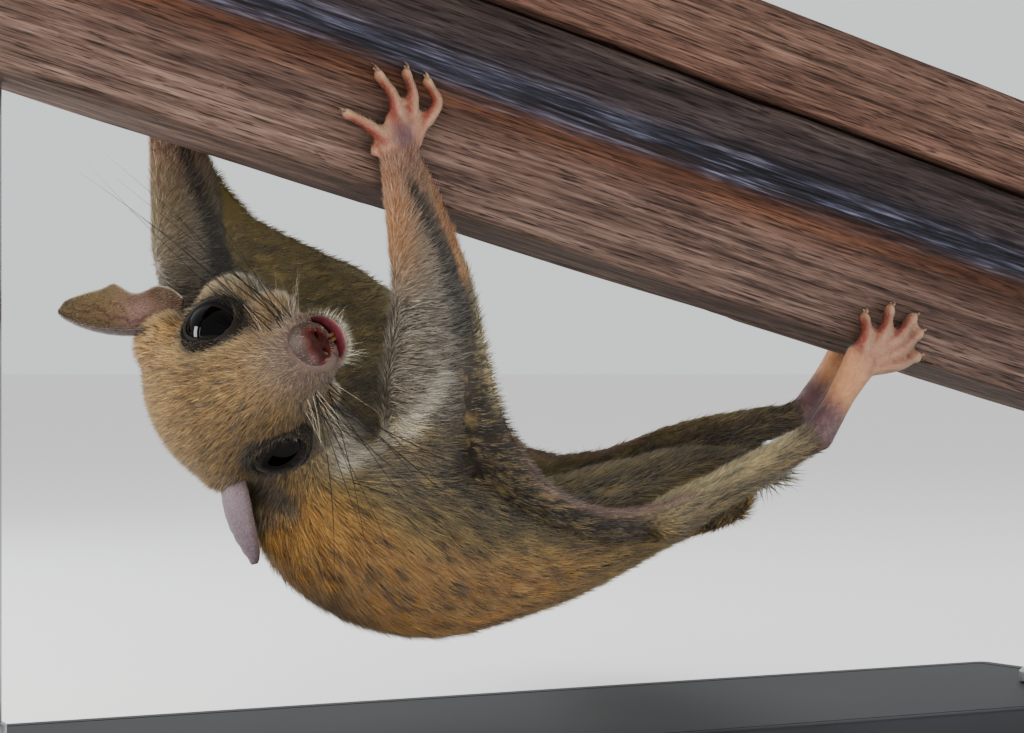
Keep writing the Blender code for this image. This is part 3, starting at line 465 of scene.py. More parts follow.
# %% [markdown]
# Each finger and toe is a chain of three points: where it leaves the paw, its knuckle, and its tip
# against the wood. The same chains shape the soft pads, colour the paws and place the claws.
# %% Finger and toe chains
JOINTS = {
    "right_arm": ((-38.0, -10.0, 66.0), (-43.0, -19.8, 94.0), (-49.0, -19.6, 121.0)),
    "left_arm": ((-51.0, 12.0, 74.0), (-75.0, 18.5, 98.0), (-82.5, 12.4, 130.0)),
    "right_leg": ((37.0, -6.0, 53.0), (13.0, -18.5, 48.5), (47.7, -19.8, 64.4)),
    "left_leg": ((36.0, 8.0, 55.0), (36.0, 25.0, 58.0), (67.5, 12.6, 69.0)),
}
FINGER_RADIUS = 1.3
TOE_RADIUS = 1.5
TIMBER_FACES = {"right": -15.0, "left": 7.0}
CLAW_CLEARANCE = 0.35
FINGERS = (
    (-3.6, 3.6, -58.0, -56.0, 7.4),
    (0.2, 7.0, -16.0, -24.0, 9.0),
    (3.2, 7.6, 0.0, 0.0, 8.4),
    (6.6, 6.8, 30.0, -12.0, 8.4),
)
TOES = (
    (-0.5, 1.8, 22.0, 16.0, 7.6),
    (2.0, 2.4, 44.0, 34.0, 10.8),
    (3.2, 1.6, 62.0, 54.0, 14.0),
    (3.4, -0.2, 70.0, 62.0, 14.6),
    (2.4, -2.0, 84.0, 74.0, 14.0),
)
FOOT_BALL = (15.0, 1.1, 17.2)


def way_up(angle):
    return Vector((math.sin(math.radians(angle)), 0.0, math.cos(math.radians(angle))))


def digit(root, side, first_way, second_way, length, radius):
    """Root, knuckle and tip of a digit, in millimetres, and its radius."""
    outward = SIDES[side]
    knuckle = root + way_up(first_way) * (0.5 * length) + Vector((0.0, 0.5 * outward, 0.0))
    tip = knuckle + way_up(second_way) * (0.5 * length)
    tip.y = TIMBER_FACES[side] + outward * (CLAW_CLEARANCE + radius)
    return (root, knuckle, tip), radius


def digits(side):
    outward = SIDES[side]
    wrist = Vector(JOINTS[f"{side}_arm"][2])
    ball = Vector(JOINTS[f"{side}_leg"][2]) + Vector((FOOT_BALL[0], -outward * FOOT_BALL[1], FOOT_BALL[2]))
    for along, up, *sizes in FINGERS:
        root = wrist + Vector((along, -outward * 0.8, up))
        yield digit(root, side, *sizes, FINGER_RADIUS)
    for along, up, *sizes in TOES:
        yield digit(ball + Vector((along, 0.0, up)), side, *sizes, TOE_RADIUS)


print(len(list(digits("right"))), "digits on each side")

# %% [markdown]
# ## One skin
# The plain solids meet with thin gaps. Copies of them are swollen a little so that they melt together in
# one voxel remesh, and then the surface is drawn in again: by the swelling, and by the depth of the coat
# that grows on it. Where it draws in differs by region, and the differences are smoothed over the mesh.
# %% Melt the solids into one
FLESH = ["head", "neck", "chest", "belly", "rump", "tail_1", "tail_2", "tail_3", "tail_4"]
for side in SIDES:
    FLESH += [f"{side}_{part}" for part in ("upper_arm", "forearm", "hand", "thigh", "shank", "foot", "membrane")]
SWELL = 0.4
VOXEL = 0.5
SKIN_TRIANGLES = 190000


def evaluated(thing):
    graph = bpy.context.evaluated_depsgraph_get()
    return bpy.data.meshes.new_from_object(thing.evaluated_get(graph))


def soft_pads(work):
    """Cushions under the fingers and toes, and along them, so that each digit reads as its own."""
    for side in SIDES:
        for (root, knuckle, tip), radius in digits(side):
            spots = [(tip, 1.12), (tip.lerp(knuckle, 0.5), 0.98), (knuckle, 1.08), (knuckle.lerp(root, 0.5), 0.95)]
            for place, share in spots:
                size = Matrix.Translation(place * MM)
                bmesh.ops.create_icosphere(work, subdivisions=2, radius=share * radius * MM, matrix=size)


def melted_flesh():
    work = bmesh.new()
    for name in FLESH:
        work.from_mesh(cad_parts[name].data)
    bmesh.ops.remove_doubles(work, verts=work.verts, dist=1e-6)
    work.normal_update()
    for vert in work.verts:
        vert.co += vert.normal * SWELL * MM
    soft_pads(work)
    mesh = bpy.data.meshes.new("flesh")
    work.to_mesh(mesh)
    work.free()
    thing = bpy.data.objects.new("flesh", mesh)
    bpy.context.scene.collection.objects.link(thing)
    melt = thing.modifiers.new("melt", "REMESH")
    melt.mode = "VOXEL"
    melt.voxel_size = VOXEL * MM
    soften = thing.modifiers.new("soften", "SMOOTH")
    soften.iterations = 5
    dense = evaluated(thing)
    thing.modifiers.clear()
    thing.data = dense
    thin = thing.modifiers.new("thin", "DECIMATE")
    thin.ratio = min(1.0, SKIN_TRIANGLES / (2.0 * len(dense.polygons)))
    thin.use_collapse_triangulate = True
    mesh = evaluated(thing)
    bpy.data.objects.remove(thing)
    return mesh


PAD_END = 1.5


def round_tips(mesh):
    """The solids' digits end in points; a soft pad ends each one, and leaves room for the claw."""
    mm = points_of(mesh) / MM
    for side in SIDES:
        for (_, knuckle, tip), _ in digits(side):
            way = np.array((tip - knuckle).normalized())
            offset = mm - np.array(tip)
            far = np.linalg.norm(offset, axis=1)
            beside = np.linalg.norm(offset - (offset @ way)[:, None] * way, axis=1)
            beyond = (offset @ way > 0.0) & (far > PAD_END) & (far < 6.0) & (beside < 2.2)
            mm[beyond] = np.array(tip) + offset[beyond] * (PAD_END / far[beyond])[:, None]
    mesh.vertices.foreach_set("co", (mm * MM).astype(np.float32).ravel())
    mesh.update()


skin_mesh = melted_flesh()
round_tips(skin_mesh)
print("skin has", len(skin_mesh.polygons), "faces")

# %% [markdown]
# Each point of the skin is given to the nearest solid, which says what grows there. The table holds the
# depth of the coat, then how many tufts stand on a square millimetre, their length and their width.
# %% What grows where
COAT = {
    "head": (0.6, 16.0, 3.0, 0.17),
    "neck": (1.0, 9.0, 4.6, 0.22),
    "chest": (1.1, 11.0, 4.6, 0.22),
    "belly": (1.0, 8.0, 4.6, 0.24),
    "rump": (1.0, 9.0, 4.4, 0.24),
    "upper_arm": (0.8, 10.0, 3.6, 0.20),
    "forearm": (0.5, 12.0, 2.6, 0.18),
    "thigh": (0.8, 9.0, 3.6, 0.22),
    "shank": (0.5, 10.0, 2.8, 0.20),
    "membrane": (0.3, 7.0, 2.5, 0.18),
    "tail": (2.0, 3.9, 7.0, 0.25),
    "hand": (0.05, 6.0, 1.2, 0.08),
    "foot": (0.05, 5.0, 1.2, 0.10),
}


def kind_of(node):
    return next(key for key in COAT if key in node)


def nearest_solids(points):
    """The name number in FLESH of the solid nearest to each point."""
    vertices, faces, owner = [], [], []
    for number, name in enumerate(FLESH):
        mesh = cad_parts[name].data
        start = len(vertices)
        vertices += [v.co.copy() for v in mesh.vertices]
        faces += [[start + k for k in face.vertices] for face in mesh.polygons]
        owner += [number] * len(mesh.polygons)
    tree = BVHTree.FromPolygons(vertices, faces)
    return np.array([owner[tree.find_nearest(point)[2]] for point in points])


def edges_of(mesh):
    flat = np.empty(len(mesh.edges) * 2, dtype=np.int32)
    mesh.edges.foreach_get("vertices", flat)
    return flat.reshape(-1, 2)


def spread(values, edges, rounds):
    """Average each vertex's values with its neighbours', a number of times."""
    values = np.array(values, dtype=float)
    columns = values.reshape(len(values), -1)
    ends = np.concatenate([edges[:, 0], edges[:, 1]])
    others = np.concatenate([edges[:, 1], edges[:, 0]])
    share = np.bincount(ends, minlength=len(columns)) + 1.0
    for _ in range(rounds):
        for k in range(columns.shape[1]):
            total = np.bincount(ends, weights=columns[others, k], minlength=len(columns))
            columns[:, k] = (columns[:, k] + total) / share
    return columns.reshape(values.shape)


def vertex_normals(mesh):
    flat = np.empty(len(mesh.vertices) * 3, dtype=np.float32)
    mesh.vertex_normals.foreach_get("vector", flat)
    return flat.reshape(-1, 3).astype(float)


outline = points_of(skin_mesh)
links = edges_of(skin_mesh)
owner = nearest_solids(outline)
kinds = np.array([kind_of(FLESH[k]) for k in owner])
print({kind: int((kinds == kind).sum()) for kind in COAT})

# %% Draw the skin in by the depth of the coat
TAIL_TIP = (88.0, 134.0, 50.5)
depth = np.array([COAT[kind][0] for kind in kinds])
local = head_local(outline)
is_head = kinds == "head"
face_share = np.clip((local[:, 0] - 2.0) / 14.0, 0.0, 1.0)
depth[is_head] *= (1.0 - 0.8 * face_share)[is_head]
depth = spread(depth, links, 16)
muzzle = is_head & (local[:, 0] > 8.0)
from_nose = np.hypot((local[:, 1] - NOSE_MIDDLE[1]) / 4.6, (local[:, 2] - NOSE_MIDDLE[2]) / 3.9)
depth += 1.7 * muzzle * np.exp(-(from_nose**4))
from_slit = np.abs((local[:, 1] - NOSE_MIDDLE[1]) / 4.8) ** 4 + ((local[:, 2] - MOUTH_LEVEL) / 0.8) ** 2
depth += 1.5 * muzzle * np.exp(-from_slit)
from_tail_tip = np.linalg.norm(outline / MM - np.array(TAIL_TIP), axis=1)
depth += 3.2 * (kinds == "tail") * np.exp(-((from_tail_tip / 15.0) ** 2))
depth = spread(depth, links, 2)
normals = vertex_normals(skin_mesh)
drawn = outline - normals * ((depth + SWELL) * MM)[:, None]
drawn = 0.5 * drawn + 0.5 * spread(drawn, links, 1)
skin_mesh.vertices.foreach_set("co", drawn.astype(np.float32).ravel())
skin_mesh.update()
skin_points = points_of(skin_mesh)
skin_normals = vertex_normals(skin_mesh)
print("mean depth", round(float(depth.mean()), 2), "mm")

# %% [markdown]
# ## The lie of the coat
# Hair grows away from the nose, along the back to the tail, and down each limb to its toes. Every region
# gets its own direction, which is laid on the surface and smoothed so that one lie turns into the next.
# %% Directions of growth
LIMB_SPANS = {"upper_arm": ("arm", 0), "forearm": ("arm", 1), "thigh": ("leg", 0), "shank": ("leg", 1)}
TAIL_LINE = ((39.0, 1.0, 57.0), (50.5, 6.0, 57.5), (58.0, 22.0, 56.5), (65.0, 50.0, 53.5), (72.0, 85.0, 49.5))
TAIL_LINE += ((80.0, 115.0, 49.0), TAIL_TIP)


def step(values, low, high):
    """A smooth step from 0 at low to 1 at high."""
    t = np.clip((values - low) / (high - low), 0.0, 1.0)
    return t * t * (3.0 - 2.0 * t)


def unit_rows(rows):
    return rows / np.maximum(np.linalg.norm(rows, axis=1, keepdims=True), 1e-9)


def along_line(points, line):
    """For each point, in millimetres: the line's direction and nearest point, and the share along it."""
    line = np.array(line)
    best = np.full(len(points), np.inf)
    way = np.zeros_like(points)
    foot = np.zeros_like(points)
    share = np.zeros(len(points))
    for k, (a, b) in enumerate(zip(line, line[1:])):
        t = np.clip((points - a) @ (b - a) / ((b - a) @ (b - a)), 0.0, 1.0)
        spot = a + t[:, None] * (b - a)
        away = np.linalg.norm(points - spot, axis=1)
        nearer = away < best
        best[nearer] = away[nearer]
        foot[nearer] = spot[nearer]
        way[nearer] = (b - a) / np.linalg.norm(b - a)
        share[nearer] = (k + t[nearer]) / (len(line) - 1)
    return way, foot, share


def growth_ways(points, owner):
    """The way that hair grows at each point, before it is laid on the skin."""
    mm = points / MM
    nose = np.array(head_point(*NOSE_TIP)) / MM
    ways = np.tile((0.97, 0.0, 0.14), (len(points), 1))
    ways[:, 2] -= 0.95 * step(mm[:, 0], -8.0, -42.0) * step(mm[:, 2], 66.0, 52.0) * step(mm[:, 2], 26.0, 38.0)
    for number, name in enumerate(FLESH):
        chosen = owner == number
        side, _, part = name.partition("_")
        if name == "head":
            ways[chosen] = mm[chosen] - nose
        elif name == "neck":
            ways[chosen] = (0.8, -0.1, -0.6)
        elif name.startswith("tail"):
            way, foot, share = along_line(mm[chosen], TAIL_LINE)
            spread_out = 0.11 - 0.19 * step(share, 0.86, 1.0)[:, None]
            ways[chosen] = way + (mm[chosen] - foot) * spread_out * (1.0, 1.0, 0.2)
        elif part in LIMB_SPANS:
            limb, first = LIMB_SPANS[part]
            start, end = (np.array(p) for p in JOINTS[f"{side}_{limb}"][first : first + 2])
            share = np.clip((mm[chosen] - start) @ (end - start) / ((end - start) @ (end - start)), 0.0, 1.0)
            share = share[:, None] if part == "forearm" else 0.15 if limb == "arm" else 0.8
            ways[chosen] = (end - start) / np.linalg.norm(end - start) * share + (1.0 - share) * np.array((1.0, 0.0, 0.1))
        elif part == "membrane":
            climb = step(mm[chosen][:, 2], 78.0, 98.0) * (side == "right")
            ways[chosen] = np.stack([0.95 - 0.6 * climb, 0.0 * climb, 0.32 + 0.63 * climb], axis=1)
        elif part == "hand":
            ways[chosen] = (0.1, 0.0, 1.0)
        elif part == "foot":
            ways[chosen] = (0.7, 0.0, 0.7)
    return unit_rows(ways)


ways = growth_ways(outline, owner)
ways -= skin_normals * (ways * skin_normals).sum(axis=1)[:, None]
ways = spread(ways, links, 30)
ways -= skin_normals * (ways * skin_normals).sum(axis=1)[:, None]
ways = unit_rows(ways)
print("hair lies on", len(ways), "points")

# %% [markdown]
# ## Markings
# Skin and coat share one set of markings. First every region gets its ground colour, from how far round
# the body or along the limb a point lies, and the grounds are smoothed over the mesh so that they melt
# into each other. Then come the marks that stay sharp: dark rings round the eyes, a stripe down the arm,
# a pale collar, and the streaks that ticked hair makes.
# %% Ground colours
# The colour named shade is a painted shadow: a dark olive given to the pale belly and the far side's skin, which face
# the timber in shade.
SHADES = {
    "crown": "#87663a", "ochre": "#b8894f", "olive": "#756840", "charcoal": "#2e2a28", "umber": "#4a4038",
    "grey": "#7c7469", "cream": "#c4b791", "white": "#c9c3b4", "mauve": "#8d6f6c", "pink": "#966e5d",
    "tan": "#a97c56", "dark": "#171210", "brown": "#4d3829", "buff": "#83755c", "tip": "#c8af78",
    "shade": "#6d603c", "red": "#64231a", "slate": "#4b4c52",
    "crimson": "#4a1820", "lip": "#6a3840", "bruise": "#493640", "muzzle": "#6a5854",
    "socket": "#26201e", "leather": "#675c64",
}
SHADE = {name: np.array(linear(code)) for name, code in SHADES.items()}
TRUNK_LINE = ((-61.0, 1.5, 62.0), (-54.0, 0.5, 54.4), (-44.0, 0.0, 48.5), (-29.0, 0.0, 45.0))
TRUNK_LINE += ((-9.0, 0.0, 43.4), (14.0, 0.0, 49.2), (34.0, 0.0, 55.2), (41.0, 0.5, 57.0))


def blend_to(colours, shade, share):
    """Carry colours towards a named shade by a share for each row."""
    share = np.clip(share, 0.0, 1.0)[:, None]
    return colours * (1.0 - share) + SHADE[shade] * share


def plain(shade, count):
    return np.tile(SHADE[shade], (count, 1))


def head_ground(mm):
    f, _, c = head_local(mm * MM).T
    colours = plain("crown", len(mm))
    colours = blend_to(colours, "buff", 0.85 * step(c, 1.0, -7.0) * step(f, 12.0, 2.0))
    colours = blend_to(colours, "white", 0.8 * step(c, -9.0, -12.5))
    colours = blend_to(colours, "grey", 0.65 * step(f, 10.0, 15.0))
    colours = blend_to(colours, "muzzle", 0.85 * step(f, 14.5, 17.5) * step(c, -11.5, -9.0))
    return blend_to(colours, "crimson", 0.9 * step(f, 14.0, 17.0) * step(np.abs(c - MOUTH_LEVEL), 1.5, 0.8))


def trunk_ground(mm, name):
    _, foot, _ = along_line(mm, TRUNK_LINE)
    offset = mm - foot
    up = offset[:, 2] / np.maximum(np.linalg.norm(offset[:, 1:], axis=1), 1e-6)
    x = mm[:, 0]
    rear = step(x, -28.0, 12.0)
    colours = plain("ochre", len(mm))
    # Towards the timber the pale belly and chest are painted dark with olive, umber and charcoal: partly the coat's own
    # colours and partly painted shade under the timber.
    colours = blend_to(colours, "olive", np.maximum(0.75 * rear, step(up, -0.35, 0.12)))
    colours = blend_to(colours, "umber", 0.92 * step(up, 0.0, 0.42) * step(x, -60.0, -42.0))
    colours = blend_to(colours, "charcoal", 0.55 * step(up, 0.1, 0.4) * step(x, -48.0, -38.0) * step(x, 12.0, -12.0))
    colours = blend_to(colours, "grey", 0.9 * step(x, -38.0, -50.0) * step(up, -0.1, 0.45))
    # The belly facing the timber takes the painted shadow olive.
    colours = blend_to(colours, "shade", step(up, 0.72, 0.92) * step(x, -40.0, -28.0))
    return blend_to(colours, "grey", np.full(len(mm), 0.75 if name == "neck" else 0.0))


def limb_ground(mm, side, part):
    limb, first = LIMB_SPANS[part]
    start, end = (np.array(p) for p in JOINTS[f"{side}_{limb}"][first : first + 2])
    share = (mm - start) @ (end - start) / ((end - start) @ (end - start))
    if part == "upper_arm":
        return plain("grey", len(mm))
    if part == "forearm":
        rear = (mm - start - share[:, None] * (end - start))[:, 0]
        rim = step(share, 0.05, 0.4) * step(np.abs(rear + 0.6), 0.5, 3.0)
        colours = blend_to(plain("grey", len(mm)), "tan" if side == "right" else "buff", rim)
        return blend_to(colours, "pink", 0.85 * step(share, 0.45, 0.95))
    # The far leg is painted dark all over, umber and charcoal: partly its own dark fur and partly painted shade.
    if side == "left":
        return blend_to(plain("umber", len(mm)), "charcoal", np.full(len(mm), 0.4))
    above = (mm - start - share[:, None] * (end - start))[:, 2]
    colours = blend_to(plain("buff", len(mm)), "cream", 0.85 * step(above, 0.5, 3.5))
    colours = blend_to(colours, "umber", 0.8 * step(above, -0.5, -3.0))
    return blend_to(colours, "brown", 0.7 * step(share, 0.8, 1.05) * (part == "shank"))


def right_membrane(mm):
    """The skirt of skin in the photo: nearly black under the arm, browner along the flank."""
    return blend_to(plain("umber", len(mm)), "charcoal", 0.75 * step(mm[:, 0], 5.0, -22.0) * step(mm[:, 2], 110.0, 98.0))


PALM = (0.2, 0.0, 3.2)


def paw_ground(mm, side):
    """Pinkish paws: red painted shade between the digits, mauve on the palm, paler at the tips, partly the pads' own
    colour and partly a painted highlight.
    """
    away = np.full(len(mm), 99.0)
    across = np.zeros(len(mm))
    share = np.zeros(len(mm))
    for line, radius in digits(side):
        way, foot, part = along_line(mm, line)
        offset = mm - foot
        distance = np.linalg.norm(offset, axis=1)
        nearer = distance < away
        away[nearer] = distance[nearer]
        side_way = np.cross(way, (0.0, 1.0, 0.0))
        across[nearer] = ((offset * unit_rows(side_way)).sum(axis=1) / radius)[nearer]
        share[nearer] = part[nearer]
    heel = np.array(JOINTS[f"{side}_leg"][2]) + (2.0, 0.0, 2.0)
    from_heel = np.linalg.norm(mm - heel, axis=1)
    palm = np.array(JOINTS[f"{side}_arm"][2]) + np.array(PALM)
    from_palm = np.linalg.norm((mm - palm) * (1.0, 0.3, 0.8), axis=1)
    colours = blend_to(plain("pink", len(mm)), "bruise", 0.85 * step(from_palm, 4.4, 1.2))
    colours = blend_to(colours, "tan", 0.6 * step(away, 2.2, 5.0) * (mm[:, 0] > 0.0))
    colours = blend_to(colours, "bruise", 0.9 * step(from_heel, 11.0, 5.0))
    # Red along one flank of each digit is painted shade in the gaps between the digits.
    colours = blend_to(colours, "red", 0.85 * step(across, 0.1, 0.8) * step(away, 3.6, 1.8))
    colours = blend_to(colours, "buff", 0.5 * step(across, 0.3, -0.5) * step(away, 3.2, 1.8))
    # The paler tips are partly the pads' own colour and partly a painted highlight.
    return blend_to(colours, "cream", 0.2 * step(share, 0.75, 1.0))


def ground(points, owner):
    mm = points / MM
    colours = np.zeros((len(points), 3))
    for number, name in enumerate(FLESH):
        chosen = owner == number
        side, _, part = name.partition("_")
        spots = mm[chosen]
        if name == "head":
            colours[chosen] = head_ground(spots)
        elif name.startswith("tail"):
            colours[chosen] = plain("grey", len(spots))
        elif part in LIMB_SPANS:
            colours[chosen] = limb_ground(spots, side, part)
        elif part == "membrane":
            # The far skirt of skin is coloured all over with the painted shadow olive.
            colours[chosen] = plain("shade", len(spots)) if side == "left" else right_membrane(spots)
        elif part in ("hand", "foot"):
            colours[chosen] = paw_ground(spots, side)
        else:
            colours[chosen] = trunk_ground(spots, name)
    return colours


rounds = np.where(np.isin(kinds, ["hand", "foot"]), 0, 1)
rough_ground = ground(outline, owner)
skin_ground = spread(rough_ground, links, 14)
skin_ground[rounds == 0] = spread(rough_ground, links, 1)[rounds == 0]
print("mean ground colour", skin_ground.mean(axis=0).round(3))

# %% Sharp marks
# For each kind of skin: how strong and how long and wide the dark and pale streaks are, in millimetres
STREAKS = {
    "head": (0.75, 3.8, 0.8), "neck": (0.7, 9.0, 1.6), "chest": (0.75, 11.0, 1.8), "belly": (0.6, 12.0, 2.0),
    "rump": (0.6, 10.0, 2.0), "upper_arm": (0.7, 5.0, 1.0), "forearm": (0.3, 6.0, 1.0), "thigh": (0.6, 7.0, 1.4),
    "shank": (0.6, 8.0, 1.3), "membrane": (0.6, 8.0, 1.2), "tail": (0.7, 14.0, 2.0), "hand": (0.15, 2.0, 1.0),
    "foot": (0.15, 2.0, 1.0),
}
STREAK_TABLE = np.array([STREAKS[kind_of(name)] for name in FLESH])
COLLAR = ((-41.0, -20.2, 77.0), (-42.9, -19.0, 73.5), (-46.0, -16.5, 69.6), (-48.4, -11.3, 66.2),
          (-56.7, -11.7, 62.8), (-62.7, -10.8, 60.4))
MEMBRANE_EDGES = {
    "right": ((-43.6, -20.0, 118.5), (-39.0, -20.6, 108.5), (-33.6, -21.4, 96.0), (-30.6, -21.8, 82.0),
              (-27.6, -21.8, 71.5), (-16.6, -21.6, 56.4), (-5.4, -21.4, 52.0), (4.4, -21.2, 51.6),
              (19.4, -21.2, 55.0), (34.0, -21.0, 60.0), (44.6, -20.4, 64.6)),
    "left": ((-75.5, 12.6, 123.0), (-66.5, 15.6, 112.0), (-52.0, 18.0, 105.5), (-34.5, 19.0, 98.5),
             (-14.0, 19.4, 79.0), (4.0, 19.2, 62.0), (20.0, 20.0, 62.0), (40.0, 20.0, 67.4), (63.0, 14.6, 71.5)),
}


def eye_rings(local, sign):
    """How far out of the lids' opening each point lies: 1 on its edge; and how far forward of it."""
    normal, along = on_side(EYE_NORMAL, sign), on_side(EYE_CORNERS, sign)
    upward = normal.cross(along) * sign
    (middle_a, middle_b), (back, ahead, across), slant = LIDS[sign]
    offset = local - np.array(on_side(EYE_PLACE, sign))
    a, b = offset @ np.array(along) - middle_a, offset @ np.array(upward) - middle_b
    turn = math.radians(slant)
    long = a * math.cos(turn) + b * math.sin(turn)
    long = long / np.where(long > 0.0, back, ahead)
    wide = (b * math.cos(turn) - a * math.sin(turn)) / across
    ring = np.sqrt(long * long + wide * wide)
    ring[offset @ np.array(normal) < 0.0] = 9.0
    return ring, long, wide


def streaks(points, ways, long, wide, seed):
    """Noise from -1 to 1, stretched along the way that hair grows."""
    mm = points / MM
    along = (mm * ways).sum(axis=1)[:, None] * ways
    place = (mm - along) / wide[:, None] + along / long[:, None] + seed
    return np.array([noise.noise(Vector(row)) for row in place])


def away_from(mm, line):
    _, foot, _ = along_line(mm, line)
    return np.linalg.norm(mm - foot, axis=1)


def marked(points, ways, owner, colours):
    """Ground colours with the streaks and sharp marks laid over them."""
    mm = points / MM
    part = np.array([kind_of(name) for name in FLESH])[owner]
    strength, long, wide = STREAK_TABLE[owner].T
    patch = streaks(points, ways, long, wide, 5.0) + 0.5 * streaks(points, ways, 0.6 * long, 0.5 * wide, 23.0)
    f, _, c = head_local(points).T
    strength = strength * np.where(part == "head", step(f, 15.0, 8.0), 1.0)
    colours = blend_to(colours, "charcoal", strength * step(patch, 0.08, 0.42))
    cool = np.isin(part, ["upper_arm", "forearm", "neck", "hand", "foot"])
    colours = blend_to(colours, "tip", 0.6 * strength * step(-patch, 0.1, 0.5) * ~cool)
    colours = blend_to(colours, "white", 0.5 * strength * step(-patch, 0.1, 0.5) * cool)
    bands = away_from(mm, COLLAR)
    trunk = ~np.isin(part, ["head", "hand", "foot", "tail"])
    colours = blend_to(colours, "white", 0.65 * step(bands, 3.2, 1.2) * trunk)
    colours = blend_to(colours, "slate", 0.7 * step(away_from(mm, ((-69.4, -5.7, 56.5), (-67.5, -7.5, 54.2))), 3.4, 1.4))
    for side, sign in SIDES.items():
        elbow, wrist = (np.array(p) for p in JOINTS[f"{side}_arm"][1:])
        share = (mm[:, 2] - elbow[2]) / (wrist[2] - elbow[2])
        rear = mm[:, 0] - elbow[0] - share * (wrist[0] - elbow[0])
        centre = 3.9 - 4.2 * share - 2.6 * share**2
        width = np.maximum(3.3 - 2.9 * share, 0.4)
        near = (step(share, -0.6, -0.2) * step(share, 0.86, 0.7) * (mm[:, 1] * sign > 0.0)
                * np.isin(part, ["forearm", "upper_arm", "membrane"]))
        colours = blend_to(colours, "dark", 0.85 * near * step(np.abs(rear - centre) / width, 1.25, 0.7))
        edge = away_from(mm, MEMBRANE_EDGES[side])
        rim = step(edge, 2.6, 1.1) * (part == "membrane")
        wide_rim = step(edge, 4.4, 2.4) * (part == "membrane") * step(mm[:, 2], 92.0, 99.0)
        # On the far side the wide rim takes the painted shadow olive.
        colours = blend_to(colours, "tan" if side == "right" else "shade", 0.85 * wide_rim)
        colours = blend_to(colours, "cream", 0.5 * rim * step(mm[:, 2], 106.0, 94.0) * step(mm[:, 2], 66.0, 78.0))
        colours = blend_to(colours, "mauve", 0.6 * rim * step(mm[:, 2], 72.0, 58.0))
    local = head_local(points)
    for sign in SIDES.values():
        ring, long_share, wide_share = eye_rings(local, sign)
        on_head = part == "head"
        colours = blend_to(colours, "tip", 0.2 * on_head * step(ring, 2.6, 1.9) * step(wide_share, 0.4, 1.4))
        forward = step(-long_share, 1.0, 1.3) * step(-long_share, 3.0, 1.7)
        colours = blend_to(colours, "brown", 0.8 * on_head * forward * np.exp(-(wide_share**2) * 1.2))
        from_gaze = np.linalg.norm(local - np.array(on_side(EYE_PLACE, sign)), axis=1)
        socket = np.maximum(step(ring, 1.75, 1.35), step(from_gaze, 8.3, 7.2) * (ring < 9.0))
        colours = blend_to(colours, "socket", 0.95 * on_head * socket)
    return colours


skin_colours = marked(skin_points, ways, owner, skin_ground)
print("mean colour", skin_colours.mean(axis=0).round(3))

# %% Paint the skin
BARE = np.isin(kinds, ["hand", "foot"])


def paint(mesh, colours):
    layer = mesh.color_attributes.new("Coat", "FLOAT_COLOR", "POINT")
    rows = np.concatenate([colours, np.ones((len(colours), 1))], axis=1)
    layer.data.foreach_set("color", rows.astype(np.float32).ravel())


def living_skin():
    """Skin under fur and bare on the paws: matt and finely creased."""
    material, tree, shader = new_material("living_skin", "#b08070", 0.55, Specular_IOR_Level=0.4)
    coat = add(tree, "Attribute", attribute_name="Coat").outputs["Color"]
    tree.links.new(coat, shader.inputs["Base Color"])
    creases = add(tree, "TexVoronoi", {"Vector": object_place(tree, (0.7, 0.7, 0.7)), "Scale": 1.0})
    creases.feature = "DISTANCE_TO_EDGE"
    grain = noise_at(tree, object_place(tree, (0.35, 0.35, 0.35)), 1.0, 3.0)
    bump(tree, shader, creases.outputs["Distance"], 0.12, 0.5, bump(tree, shader, grain, 0.06, 0.5))
    return material


skin_material = living_skin()
# Under the fur the skin is darkened to half: partly the dark underfur and partly painted shade deep in the coat.
under = skin_colours * np.where(BARE, 0.85, 0.5)[:, None]
paint(skin_mesh, under)
skin_mesh.materials.append(skin_material)
skin_mesh.shade_smooth()
skin_mesh.name = "skin"
skin = bpy.data.objects.new("skin", skin_mesh)
bpy.context.scene.collection.objects.link(skin)
settle(skin, "fur_orange", *FLESH)

# %% [markdown]
# Each tuft needs its own place on a flat picture of the coat. The skin is unwrapped as a tailor would lay
# it flat, and every tuft keeps a small patch at its root's place.
# %% Unwrap the skin
bpy.context.view_layer.objects.active = skin
skin.select_set(True)
bpy.ops.object.mode_set(mode="EDIT")
bpy.ops.mesh.select_all(action="SELECT")
bpy.ops.uv.smart_project(angle_limit=math.radians(66.0), island_margin=0.001)
bpy.ops.object.mode_set(mode="OBJECT")
skin_mesh.uv_layers[0].name = "OFBake"
print("unwrapped")

# %% [markdown]
# ## The coat
# A tuft is a thin three-sided spike whose root ring is sunk in the skin. Long tufts have one more ring
# half way, where they bend and lie over. All the tufts of a region are made at once from arrays, which
# is how a quarter of a million of them stay quick.
# %% Scatter roots over the skin
draw = np.random.default_rng(11)


def triangles_of(mesh):
    mesh.calc_loop_triangles()
    count = len(mesh.loop_triangles)
    corners = np.empty(count * 3, dtype=np.int32)
    loops = np.empty(count * 3, dtype=np.int32)
    mesh.loop_triangles.foreach_get("vertices", corners)
    mesh.loop_triangles.foreach_get("loops", loops)
    return corners.reshape(-1, 3), loops.reshape(-1, 3)


corners, corner_loops = triangles_of(skin_mesh)
flat = np.empty(len(skin_mesh.loops) * 2, dtype=np.float32)
skin_mesh.uv_layers["OFBake"].data.foreach_get("uv", flat)
skin_uv = flat.reshape(-1, 2).astype(float)
first, second, third = (skin_points[corners[:, k]] for k in range(3))
areas = 0.5 * np.linalg.norm(np.cross(second - first, third - first), axis=1) / MM**2
print("skin area", int(areas.sum()), "square mm")


